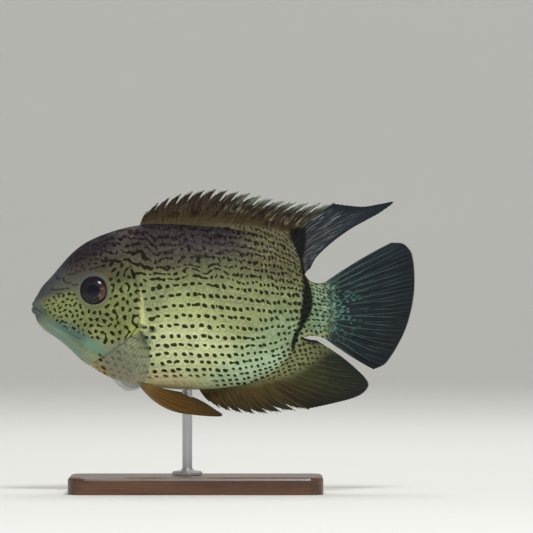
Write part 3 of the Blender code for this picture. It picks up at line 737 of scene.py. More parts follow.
    def net_marks(self, mesh: bpy.types.Mesh, x: Array, z: Array, right: Array | bool) -> None:
        """Stores where a mesh's vertices lie on the net of scales and in the black band.

        Args:
            mesh: The mesh to paint.
            x: Each vertex's distance behind the snout.
            z: Each vertex's height above the long axis.
            right: True where the vertex is on the fish's right.
        """
        u, v = self.rows.net(x, z)
        across, down = photo_place(x, z)
        lines = (1 - smooth_step(5.4, 7.6, v)) * (1 - 0.8 * smooth_step(222, 268, across))
        nape = smooth_step(260, 265, down)
        head = (x < along(GILL_EDGE, 0, z, key=1)) * nape * (1 - smooth_step(351, 354, down))
        finer = np.where(v < 7, 7 - (7 - v) * 1.3, v)
        sloped = finer + 2.0 * (1 - smooth_step(96, 168, across)) * (1 - smooth_step(0, 9, v))
        store(mesh, "rows", np.stack([u, sloped, self.seed(x, right)], axis=-1))
        store(mesh, "zones", np.stack([lines, head, self.band(across, down)], axis=-1))


def store(mesh: bpy.types.Mesh, name: str, values: Array) -> None:
    """Keeps a value for each vertex: one number, three as a vector, or four as a colour.

    Args:
        mesh: The mesh.
        name: The attribute's name.
        values: One row for each vertex.
    """
    if values.shape[-1] == 1:
        mesh.attributes.new(name, "FLOAT", "POINT").data.foreach_set("value", values.ravel())
    elif values.shape[-1] == 3:
        mesh.attributes.new(name, "FLOAT_VECTOR", "POINT").data.foreach_set("vector", values.ravel())
    else:
        mesh.attributes.new(name, "FLOAT_COLOR", "POINT").data.foreach_set("color", values.ravel())


def places_of(mesh: bpy.types.Mesh) -> Array:
    """The vertices of a mesh, one row each."""
    return read(mesh.vertices, "co", np.float32, 3).reshape(-1, 3).astype(float)


def place_all(mesh: bpy.types.Mesh, points: Array) -> None:
    """Puts the vertices of a mesh at places on the fish."""
    mesh.vertices.foreach_set("co", to_scene(points).astype(np.float32).ravel())
    mesh.update()


def read(items: bpy.types.bpy_prop_collection, name: str, kind: type = np.int32, width: int = 1) -> Array:
    """Reads a value of all of a mesh's vertices, corners or faces.

    Args:
        items: The vertices, loops or polygons.
        name: The value's name.
        kind: Its numbers' type.
        width: How many numbers it has.

    Returns:
        The numbers in one row.
    """
    values = np.empty(len(items) * width, kind)
    items.foreach_get(name, values)
    return values


def to_mesh(bm: bmesh.types.BMesh, name: str) -> bpy.types.Mesh:
    """A mesh from a bmesh.

    Args:
        bm: The bmesh, which is freed.
        name: The mesh's name.

    Returns:
        The mesh.
    """
    mesh = bpy.data.meshes.new(name)
    bm.to_mesh(mesh)
    bm.free()
    return mesh


def turn_outwards(mesh: bpy.types.Mesh) -> None:
    """Turns every face of closed shells to look out.

    Args:
        mesh: The mesh.
    """
    bm = bmesh.new()
    bm.from_mesh(mesh)
    bmesh.ops.recalc_face_normals(bm, faces=bm.faces)
    if bm.calc_volume(signed=True) < 0:
        bmesh.ops.reverse_faces(bm, faces=bm.faces)
    bm.to_mesh(mesh)
    bm.free()


def lathe(profile: Table, steps: int, closed: bool) -> bmesh.types.BMesh:
    """Turns a section round the Z axis.

    Args:
        profile: The radius and height of each corner.
        steps: How many sides the turned form gets.
        closed: Whether the last corner joins the first.

    Returns:
        The turned form.
    """
    bm = bmesh.new()
    line = [bm.verts.new((radius, 0, height)) for radius, height in profile]
    edges = [bm.edges.new(pair) for pair in zip(line, line[1:] + line[:1] * closed)]
    spin = {"cent": (0, 0, 0), "axis": (0, 0, 1), "angle": 2 * math.pi, "use_merge": True}
    bmesh.ops.spin(bm, geom=line + edges, steps=steps, **spin)
    return bm


@dataclass
class Globe:
    """A closed skin's net: rings between two poles, as a sphere has them."""

    rings: int
    columns: int

    def make(self, name: str) -> tuple[bpy.types.Mesh, Array, Array]:
        """The bare net.

        Args:
            name: The mesh's name.

        Returns:
            The mesh, each vertex's band from 0 to rings + 1, and its column.
        """
        bm = bmesh.new()
        bands = self.rings + 1
        bmesh.ops.create_uvsphere(bm, u_segments=self.columns, v_segments=bands, radius=1)
        mesh = to_mesh(bm, name)
        co = places_of(mesh)
        band = np.rint(np.arccos(np.clip(co[:, 2], -1, 1)) / math.pi * bands).astype(int)
        turn = np.arctan2(co[:, 1], co[:, 0]) / (2 * math.pi) * self.columns
        return mesh, band, np.rint(turn).astype(int) % self.columns


@dataclass
class Slab:
    """A thin closed sheet's net, with a front and a back."""

    across: int
    up: int

    def make(self, name: str) -> tuple[bpy.types.Mesh, Array, Array, Array]:
        """The bare net.

        Args:
            name: The mesh's name.

        Returns:
            The mesh, each vertex's column and row, and True for those of the front.
        """
        bm = bmesh.new()
        bmesh.ops.create_grid(bm, x_segments=self.across, y_segments=self.up, size=1)
        front_layer = bm.verts.layers.int.new("front")
        for vertex in bm.verts:
            vertex[front_layer] = 1
        made = bmesh.ops.extrude_face_region(bm, geom=bm.faces[:])["geom"]
        for vertex in (item for item in made if isinstance(item, bmesh.types.BMVert)):
            vertex[front_layer] = 0
        front = np.array([vertex[front_layer] == 1 for vertex in bm.verts])
        mesh = to_mesh(bm, name)
        co = places_of(mesh)
        column = np.rint((co[:, 0] + 1) / 2 * self.across).astype(int)
        row = np.rint((co[:, 1] + 1) / 2 * self.up).astype(int)
        return mesh, column, row, front


def repeat(name: str, pattern: bpy.types.Mesh, copies: Array) -> bpy.types.Mesh:
    """Joins many copies of one small mesh.

    Args:
        name: The new mesh's name.
        pattern: The mesh that is repeated. It is removed.
        copies: Places on the fish: copy, vertex, coordinate.

    Returns:
        The joined mesh.
    """
    count, verts = copies.shape[:2]
    corners, starts = read(pattern.loops, "vertex_index"), read(pattern.polygons, "loop_start")
    mesh = bpy.data.meshes.new(name)
    mesh.vertices.add(count * verts)
    mesh.loops.add(count * len(corners))
    mesh.polygons.add(count * len(starts))
    step = np.arange(count, dtype=np.int32)[:, None]
    mesh.loops.foreach_set("vertex_index", (corners[None] + step * verts).astype(np.int32).ravel())
    mesh.polygons.foreach_set("loop_start", (starts[None] + step * len(corners)).astype(np.int32).ravel())
    place_all(mesh, copies.reshape(-1, 3))
    mesh.update(calc_edges=True)
    mesh.validate()
    bpy.data.meshes.remove(pattern)
    return mesh


def join(name: str, meshes: Iterable[bpy.types.Mesh]) -> bpy.types.Mesh:
    """One mesh from several.

    Args:
        name: Its name.
        meshes: The meshes, which are removed.

    Returns:
        The joined mesh.
    """
    bm = bmesh.new()
    for mesh in list(meshes):
        bm.from_mesh(mesh)
        bpy.data.meshes.remove(mesh)
    return to_mesh(bm, name)


def show(
    name: str, mesh: bpy.types.Mesh, finish: bpy.types.Material, slot: str, *nodes: str
) -> bpy.types.Object:
    """Puts a finished piece in the scene.

    Args:
        name: The piece's name.
        mesh: Its mesh, already in place.
        finish: Its material.
        slot: A slot name for that finish; not used.
        nodes: The solids it stands for.

    Returns:
        The piece.
    """
    mesh.name = name
    mesh.materials.clear()
    mesh.materials.append(finish)
    mesh.shade_smooth()
    piece = bpy.data.objects.new(name, mesh)
    bpy.context.scene.collection.objects.link(piece)
    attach(piece, "root")
    if nodes:
        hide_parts(*nodes)
    log.info("%s: %d triangles", name, sum(len(face.vertices) - 2 for face in mesh.polygons))
    return piece


def reckoning(operation: str, flipped: bool = False) -> Callable[..., "Wire"]:
    """A way to reckon with wires.

    Args:
        operation: The math node's operation.
        flipped: Whether the wire comes after the other value.

    Returns:
        A method for wires.
    """

    def reckon(wire: "Wire", *others: "Wire | float") -> "Wire":
        """The operation's result."""
        return wire.graph.math(operation, *((*others, wire) if flipped else (wire, *others)))

    return reckon


class Wire:
    """A value that runs through a material's nodes, which can be reckoned with like a number."""

    __add__, __radd__ = reckoning("ADD"), reckoning("ADD", flipped=True)
    __sub__, __rsub__ = reckoning("SUBTRACT"), reckoning("SUBTRACT", flipped=True)
    __mul__, __rmul__ = reckoning("MULTIPLY"), reckoning("MULTIPLY", flipped=True)
    __truediv__, __pow__, __abs__ = reckoning("DIVIDE"), reckoning("POWER"), reckoning("ABSOLUTE")
    most, floor, below = reckoning("MAXIMUM"), reckoning("FLOOR"), reckoning("LESS_THAN")

    def __init__(self, graph: "Graph", socket: bpy.types.NodeSocket) -> None:
        """Keeps the socket that gives the value."""
        self.graph = graph
        self.socket = socket

    def rises(self, low: "Wire | float", high: "Wire | float") -> "Wire":
        """0 up to low, 1 from high, smooth between them. Low may be above high."""
        given = {"Value": self, "From Min": low, "From Max": high}
        return self.graph.add("MapRange", given, "Result", interpolation_type="SMOOTHSTEP")

    def others(self, count: int = 3) -> tuple["Wire", ...]:
        """The values that its node gives, from the first."""
        return tuple(Wire(self.graph, socket) for socket in self.socket.node.outputs[:count])


class Graph:
    """A material with its Principled shader, and short ways to add the nodes that feed it."""

    def __init__(self, name: str) -> None:
        """Makes the material.

        Args:
            name: Its name.
        """
        self.material = bpy.data.materials.new(name)
        self.material.use_nodes = True
        self.tree = self.material.node_tree
        self.shader = self.tree.nodes["Principled BSDF"]

    def add(
        self, kind: str, given: dict[str | int, object], output: str | int = 0, **settings: object
    ) -> Wire:
        """Adds a node.

        Args:
            kind: Its type.
            given: What its inputs get, by name or number.
            output: The output to go on with.
            settings: The node's settings.

        Returns:
            That output's value.
        """
        made = self.tree.nodes.new(f"ShaderNode{kind}")
        for name, value in settings.items():
            setattr(made, name, value)
        for socket, value in given.items():
            self.feed(made.inputs[socket], value)
        return Wire(self, made.outputs[output])

    def feed(self, socket: bpy.types.NodeSocket, value: object) -> None:
        """Gives an input a wire or a plain value.

        Args:
            socket: The input.
            value: A wire, a number, or a tuple for a vector or a colour.
        """
        if isinstance(value, Wire):
            self.tree.links.new(value.socket, socket)
        elif isinstance(value, tuple) and socket.type == "RGBA":
            socket.default_value = (*value, 1.0) if len(value) == 3 else value
        else:
            socket.default_value = value

    def set(self, **values: object) -> None:
        """Feeds the shader's own inputs, named with underscores for spaces."""
        for name, value in values.items():
            self.feed(self.shader.inputs[name.replace("_", " ")], value)

    def math(self, operation: str, *values: Wire | float) -> Wire:
        """A sum of any kind."""
        return self.add("Math", dict(enumerate(values)), operation=operation)

    def stored(self, name: str, output: str = "Vector") -> Wire:
        """A value kept on the mesh."""
        return self.add("Attribute", {}, output, attribute_name=name)

    def place(self) -> Wire:
        """The place on the object, in metres."""
        return self.add("TexCoord", {}, "Object")

    def parts(self, vector: Wire) -> tuple[Wire, ...]:
        """A vector's three numbers."""
        return self.add("SeparateXYZ", {0: vector}).others()

    def vector(self, x: Wire | float, y: Wire | float, z: Wire | float = 0.0) -> Wire:
        """A vector from three numbers."""
        return self.add("CombineXYZ", {0: x, 1: y, 2: z})

    def noise(self, at: Wire, scale: float, detail: float = 2.0, rough: float = 0.5) -> Wire:
        """Soft cloudy noise, about 0.5 on the whole."""
        given = {"Vector": at, "Scale": scale, "Detail": detail, "Roughness": rough}
        return self.add("TexNoise", given, "Fac")

    def dice(self, at: Wire) -> tuple[Wire, ...]:
        """Three random numbers for each place."""
        colour = self.add("TexWhiteNoise", {"Vector": at}, "Color", noise_dimensions="3D")
        return self.add("SeparateColor", {0: colour}).others()

    def mix(self, share: Wire | float, first: Wire | tuple, second: Wire | tuple) -> Wire:
        """A colour a share of the way from the first to the second; 6, 7 and 2 are the colour sockets."""
        return self.add("Mix", {0: share, 6: first, 7: second}, 2, data_type="RGBA")

    def scaled(self, colour: Wire | tuple, by: Wire | float) -> Wire:
        """A colour made brighter or darker."""
        return self.add("VectorMath", {0: colour, "Scale": by}, operation="SCALE")

    def bump(self, height: Wire, strength: float, distance: float) -> None:
        """Roughens the surface by a height."""
        given = {"Height": height, "Strength": strength, "Distance": distance}
        self.set(Normal=self.add("Bump", given))


def tint(colour: Colour) -> tuple[float, float, float]:
    """A mixed colour as a shader takes it."""
    return tuple(float(value) for value in linear(colour))


@dataclass(frozen=True)
class Finish:
    """A material's recipe."""

    name: str

    def make(self) -> bpy.types.Material:
        """Builds the material.

        Returns:
            The material.
        """
        g = Graph(self.name)
        self.dress(g)
        return g.material

    def dress(self, g: Graph) -> None:
        """Adds the nodes that give the material its look."""
        raise NotImplementedError


@dataclass(frozen=True)
class RootFlecks:
    """Pale turquoise and dark flecks over the root of the tail, whose limits are in the scene's metres."""

    pale: Colour = (146, 186, 158)
    dark: Colour = (34, 46, 38)
    along_x: tuple[float, float, float, float] = (0.0595, 0.0640, 0.0690, 0.0755)
    up_z: tuple[float, float, float, float] = (0.0820, 0.0850, 0.1070, 0.1110)

    def lay(self, g: Graph, place: Wire, colour: Wire) -> Wire:
        """Lays the flecks over a colour.

        Args:
            g: The material.
            place: The place in the scene.
            colour: What lies below.

        Returns:
            The colour with the flecks.
        """
        x, _, z = g.parts(place)
        (start, full, last, end), (low, above, under, high) = self.along_x, self.up_z
        near = x.rises(start, full) * x.rises(end, last) * z.rises(low, above) * z.rises(high, under)
        pale = g.noise(place, 560.0, 2.0, 0.6).rises(0.49, 0.57)
        dark = g.noise(place, 420.0, 2.0, 0.6).rises(0.54, 0.62)
        colour = g.mix(near * pale * 0.6, colour, tint(self.pale))
        return g.mix(near * dark * 0.7, colour, tint(self.dark))


@dataclass(frozen=True)
class FleshFinish(Finish):
    """Scaly skin: its stored ground, the dots and lines of the flank, the strokes of the head, the band."""

    rough: float = 0.5
    coat: float = 0.03
    band_tone: Colour = (12, 13, 12)
    warm_glint: Colour = (196, 186, 112)
    cool_glint: Colour = (110, 158, 140)
    spark: Colour = (226, 234, 200)
    waves: int = 9
    wave_seed: int = 31

    @staticmethod
    def flank_marks(g: Graph) -> Wire:
        """The dots and chains of beads that follow the rows of scales.

        Args:
            g: The material.

        Returns:
            1 on a mark, 0 off it.
        """
        u, v, seed = g.parts(g.stored("rows"))
        lines, _, _ = g.parts(g.stored("zones"))
        wander = g.noise(g.vector(u * 0.5 + seed, v * 0.4, 3.1), 1.0, 1.0) - 0.5
        shake = g.noise(g.vector(u * 1.5 + seed, v * 1.1, 9.7), 1.0, 1.0) - 0.5
        aft = u.rises(12.0, 22.0)
        v = v + wander * (lines * 2.2 + aft * 0.5 + 0.25) + shake * (lines * 0.9 + aft * 0.5 + 0.14)
        u = u + (g.noise(g.vector(u * 0.6 + seed, v * 0.8, 21.3), 1.0, 1.0) - 0.5) * (lines * 0.9 + 0.25)
        row = (v + 0.5).floor()
        u = u * (row.below(6.5) * 0.35 + 1.0)
        column = (u + 0.5).floor()
        first, second, third = g.dice(g.vector(column + seed, row, 0.5))
        du = u - column - (first - 0.5) * 0.26
        dv = v - row - (second - 0.5) * 0.24
        low = row.rises(12.0, 16.0)
        long = (third * 0.5 + 0.75) * (aft * 0.03 - low * 0.03 + 0.305)
        tall = (second * 0.4 + 0.8) * (lines * 0.035 + aft * 0.045 + low * 0.07 + 0.188)
        far = abs(du / long) ** 2.4 + abs(dv / tall) ** 2.4
        dots = far.rises(1.4, 0.7) * third.below(0.975)
        chain = g.noise(g.vector(u * 0.9 + seed, row * 7.3, 2.2), 1.0, 0.0)
        linked = chain.rises(0.68 - lines * 0.21, 0.70 - lines * 0.21)
        bars = abs(v - row).rises(lines * 0.05 + 0.15, lines * 0.05 + 0.09) * linked
        return dots.most(bars)

    def head_marks(self, g: Graph) -> Wire:
        """The dots of the snout, which grow to short bent strokes on the gill cover.

        Args:
            g: The material.

        Returns:
            1 on a mark, 0 off it.
        """
        a, b, seed = g.parts(g.stored("cheek"))
        bend_a = g.noise(g.vector(a * 0.4 + seed, b * 0.4, 1.7), 1.0, 1.0) - 0.5
        bend_b = g.noise(g.vector(a * 0.4 + seed, b * 0.4, 6.9), 1.0, 1.0) - 0.5
        warp_a, warp_b = a + bend_a * 1.1 + seed, b + bend_b * 1.1
        chance = np.random.default_rng(self.wave_seed)
        swell: Wire | float = 0.0
        for turn in np.linspace(0, math.pi, self.waves, endpoint=False):
            turn = float(turn + chance.uniform(-0.15, 0.15))
            pace = math.tau * float(chance.uniform(0.93, 1.07))
            step = warp_a * (math.cos(turn) * pace) + warp_b * (math.sin(turn) * pace)
            swell = g.math("COSINE", step + float(chance.uniform(0, math.tau))) + swell
        swell = swell / math.sqrt(self.waves / 2)
        level = 0.74 - a.rises(3.0, 11.0) * 0.16
        return swell.rises(level - 0.22, level + 0.22)

    def dress(self, g: Graph) -> None:
        """Adds the nodes that give the material its look.

        Args:
            g: The material.
        """
        lines, head, band = g.parts(g.stored("zones"))
        u, v, seed = g.parts(g.stored("rows"))
        ink, strength = g.stored("ink", "Color"), g.stored("ink", "Alpha")
        place = g.place()
        speck = g.noise(place, 1500.0, 3.0, 0.7)
        hue = g.noise(place, 700.0, 2.0, 0.6)
        cloud = g.noise(place, 130.0, 2.0)
        on_head = head.rises(0.4, 0.6)
        flank, cheek = self.flank_marks(g), self.head_marks(g)
        marks = (flank * (1.0 - on_head) + cheek * on_head) * strength
        marks = (marks + (speck - 0.5) * 0.6).rises(0.30, 0.60) * strength.rises(0.05, 0.25)
        marks = marks * (strength * 0.75 + 0.25)
        # painted highlights: each scale a little brighter or darker, as if it caught the light on its own
        _, _, glint = g.dice(g.vector((u + 0.5).floor() + seed, (v + 0.5).floor(), 8.5))
        light = (speck - 0.5) * 1.3 + (hue - 0.5) * 0.5 + (cloud - 0.5) * 0.4
        light = light + (glint - 0.5) * 0.14 * (1.0 - on_head)
        ground = g.scaled(g.stored("ground", "Color"), light + 0.97)
        # painted highlights: warm and cool glints and a pale sparkle, mostly on the flank below the upper
        # lines
        lit = 1.0 - lines.rises(0.0, 0.8)
        ground = g.mix(hue.rises(0.52, 0.7) * lit * 0.22, ground, tint(self.warm_glint))
        ground = g.mix(hue.rises(0.46, 0.3) * lit * 0.20, ground, tint(self.cool_glint))
        spark = g.noise(place, 1100.0, 1.0).rises(0.60, 0.70) * (1.0 - on_head * 0.6) * (lit * 0.8 + 0.2)
        ground = g.mix(spark * 0.28, ground, tint(self.spark))
        dull = g.stored("ground", "Color")
        ground = g.mix(1.0 - strength.rises(0.3, 0.9), ground, g.scaled(dull, light * 0.5 + 1.0))
        marks = marks.most(g.stored("cheek_lines", "Fac") * 0.75)
        ground = RootFlecks().lay(g, place, ground)
        colour = g.mix(marks * 0.96, ground, g.scaled(ink, (cloud - 0.5) * 0.8 + 1.0))
        edge = (speck - 0.5) * 2.2 + (cloud - 0.5) * 2.4 + (hue - 0.5) * 3.4
        colour = g.mix((band + edge).rises(-0.7, 0.7) * 0.96, colour, tint(self.band_tone))
        rough = (speck - 0.5) * 0.25 + self.rough
        g.set(Base_Color=colour, Roughness=rough, Coat_Weight=self.coat, Coat_Roughness=0.3)
        g.set(Specular_IOR_Level=0.08)
        g.bump(speck, 0.3, 0.0002)


@dataclass(frozen=True)
class EyeFinish(Finish):
    """A glossy eye: a deep blue-black pupil, a dark red-brown iris with painted copper glints, a thin pale
    rim, and a painted dark reflection on top.
    """

    pupil: Colour = (12, 17, 28)
    pupil_rim: Colour = (74, 64, 62)
    iris: Colour = (31, 23, 28)
    iris_glint: Colour = (122, 92, 78)
    outer: Colour = (14, 10, 24)
    pupil_radius: float = 3.55
    iris_radius: float = 7.2

    def dress(self, g: Graph) -> None:
        """Adds the nodes that give the material its look.

        Args:
            g: The material.
        """
        local = g.stored("eye")
        x, y, _ = g.parts(local)
        far = g.math("SQRT", x * x + y * y)
        turn = g.math("ARCTAN2", y, x)
        round_it = g.vector(g.math("COSINE", turn) * 9.0, g.math("SINE", turn) * 9.0, far * 0.5)
        fibre = g.noise(round_it, 1.0, 3.0, 0.6)
        cloud = g.noise(local, 0.45, 2.0)
        # painted highlights: copper glints on the iris, stronger towards the rear side
        glints = (fibre + (cloud - 0.5) * 0.9 + x * 0.06).rises(0.6, 0.9)
        inner, outer = self.pupil_radius, self.iris_radius
        ring = far.rises(inner, inner + 0.5) * far.rises(6.9, 5.6)
        colour = g.mix(glints * ring * 0.8, tint(self.iris), tint(self.iris_glint))
        rim = far.rises(inner - 0.25, inner) * far.rises(inner + 0.5, inner)
        colour = g.mix(rim * (cloud * 0.5 + 0.1), colour, tint(self.pupil_rim))
        colour = g.mix(far.rises(outer - 0.9, outer - 0.1), colour, tint(self.outer))
        colour = g.mix(far.rises(inner, inner - 0.3), colour, tint(self.pupil))
        # painted reflection: the iris's upper rear part darkened towards the outer navy
        shade = (y + x * 0.35).rises(2.0, 5.6) * far.rises(3.4, 5.0)
        colour = g.mix(shade * 0.85, colour, tint(self.outer))
        g.set(Base_Color=colour, Roughness=0.2, Coat_Weight=0.25, Coat_Roughness=0.03)
        g.set(Specular_IOR_Level=0.15)


@dataclass(frozen=True)
class FinMarks:
    """A layer of marks over a fin."""

    colour: Colour
    per_web: float
    rows: float
    cover: float
    span: tuple[float, float]
    strength: float
    seed: float
    zoned: bool = False
    fade_in: ClassVar[tuple[float, float]] = (0.12, 0.08)
    fade_out: ClassVar[float] = 0.12

    def drawn(self, g: Graph, c: Wire, s: Wire) -> Wire:
        """1 on a mark, 0 off it, by the place among the rays and the share of the way out."""
        raise NotImplementedError

    def lay(self, g: Graph, colour: Wire, c: Wire, s: Wire, zone: Wire) -> Wire:
        """Lays the marks over a colour.

        Args:
            g: The material.
            colour: What lies below.
            c: The place among the rays.
            s: The share of the way out along them.
            zone: How much of a zoned layer shows.

        Returns:
            The colour with the marks.
        """
        (low, high), (before, after) = self.span, self.fade_in
        inside = s.rises(low - before, low + after) * s.rises(high + self.fade_out, high - self.fade_out)
        shown = self.drawn(g, c, s) * inside * self.strength
        return g.mix(shown * zone if self.zoned else shown, colour, tint(self.colour))


@dataclass(frozen=True)
class Dashes(FinMarks):
    """Small marks between a fin's rays."""

    size: tuple[float, float] = (0.4, 0.34)
    fade_in: ClassVar[tuple[float, float]] = (0.08, 0.04)
    fade_out: ClassVar[float] = 0.1

    def drawn(self, g: Graph, c: Wire, s: Wire) -> Wire:
        """1 on a mark.

        Args:
            g: The material.
            c: The place among the rays.
            s: The share of the way out along them.

        Returns:
            The marks before they fade.
        """
        net_c = c * self.per_web + self.seed
        column = net_c.floor()
        shift, _, _ = g.dice(g.vector(column, self.seed, 0.5))
        net_s = s * self.rows + shift
        row = net_s.floor()
        odd, size, place = g.dice(g.vector(column, row, self.seed + 1.5))
        dc = (net_c - column - 0.5 - (place - 0.5) * 0.3) / self.size[0]
        ds = (net_s - row - 0.5) / (size * self.size[1] + self.size[1] * 0.5)
        return (dc * dc + ds * ds).rises(1.3, 0.5) * odd.below(self.cover)


@dataclass(frozen=True)
class Streaks(FinMarks):
    """Soft streaks that run out along a fin's rays."""

    def drawn(self, g: Graph, c: Wire, s: Wire) -> Wire:
        """1 on a streak."""
        place = g.vector(c * self.per_web + self.seed, s * self.rows, self.seed * 3.7)
        return g.noise(place, 1.0, 2.0, 0.55).rises(self.cover, self.cover + 0.13)


@dataclass(frozen=True)
class FinFinish(Finish):
    """A fin's web and rays: its stored ground, a tint for the rays, layers of marks, and a scaly root."""

    ray_tone: Colour
    ray_share: float = 0.6
    layers: tuple[FinMarks, ...] = ()
    rough: float = 0.5
    alpha: float = 1.0
    scaly: bool = True
    mark_tone: Colour = (34, 34, 14)
    band_tone: Colour = (12, 13, 12)

    def dress(self, g: Graph) -> None:
        """Adds the nodes that give the material its look.

        Args:
            g: The material.
        """
        c, s, ridge = g.parts(g.stored("fan"))
        scaled, zone, _ = g.parts(g.stored("patches"))
        place = g.place()
        speck = g.noise(place, 900.0, 3.0, 0.6)
        fibre = g.noise(g.vector(c * 9.0, s * 2.5, 0.0), 1.0, 2.0, 0.6)
        light = (speck - 0.5) * 0.6 + (fibre - 0.5) * 0.9 + 1.0
        colour = g.scaled(g.stored("ground", "Color"), light)
        bare = 1.0 - scaled
        colour = g.mix(ridge * self.ray_share * bare, colour, tint(self.ray_tone))
        for layer in self.layers:
            colour = layer.lay(g, colour, c, s, zone)
        if self.scaly:
            ragged = (g.noise(place, 300.0, 2.0) - 0.5) * 1.4
            marks = FleshFinish.flank_marks(g) * (scaled + (speck - 0.5) * 0.5 + ragged).rises(0.4, 0.6)
            colour = g.mix(marks * 0.94, colour, tint(self.mark_tone))
            colour = RootFlecks().lay(g, place, colour)
            _, _, band = g.parts(g.stored("zones"))
            edge = (speck - 0.5) * 3.0
            colour = g.mix((band + edge).rises(-0.7, 0.7) * 0.96, colour, tint(self.band_tone))
        g.set(Base_Color=colour, Roughness=(speck - 0.5) * 0.2 + self.rough, Alpha=self.alpha)
        g.set(Specular_IOR_Level=0.1)
        g.bump(fibre + speck * 0.5, 0.3, 0.0003)


@dataclass(frozen=True)
class WoodFinish(Finish):
    """Oiled dark walnut, its grain running along the board."""

    light: Colour = (112, 74, 48)
    dark: Colour = (58, 36, 24)

    def dress(self, g: Graph) -> None:
        """Adds the nodes that give the material its look.

        Args:
            g: The material.
        """
        x, y, z = g.parts(g.place())
        drift = g.noise(g.vector(x * 9.0, y * 30.0, z * 30.0), 1.0, 2.0) - 0.5
        rings = g.math("SINE", (y + z * 0.6) * 620.0 + drift * 11.0)
        pores = g.noise(g.vector(x * 60.0, y * 1500.0, z * 1500.0), 1.0, 3.0, 0.6)
        share = rings * 0.1 + pores * 0.8 + 0.08
        colour = g.mix(share.rises(0.15, 0.85), tint(self.dark), tint(self.light))
        g.set(Base_Color=colour, Roughness=pores * 0.22 + 0.26, Coat_Weight=0.3, Coat_Roughness=0.2)
        g.bump(pores, 0.25, 0.0002)


@dataclass(frozen=True)
class SteelFinish(Finish):
    """Brushed stainless steel, turned on its axis."""

    tone: Colour = (198, 199, 201)

    def dress(self, g: Graph) -> None:
        """Adds the nodes that give the material its look.

        Args:
            g: The material.
        """
        x, y, z = g.parts(g.place())
        lines = g.noise(g.vector(x * 90.0, y * 90.0, z * 9000.0), 1.0, 2.0, 0.6)
        g.set(Base_Color=tint(self.tone), Metallic=1.0, Roughness=lines * 0.25 + 0.2)
        g.bump(lines, 0.12, 0.0001)


@dataclass(frozen=True)
class FloorFinish(Finish):
    """Plain pale paper."""

    tone: Colour = (226, 226, 223)

    def dress(self, g: Graph) -> None:
        """Adds the nodes that give the material its look."""
        cloud = g.noise(g.place(), 2.0, 2.0)
        g.set(Base_Color=g.scaled(tint(self.tone), cloud * 0.04 + 0.98), Roughness=0.9)


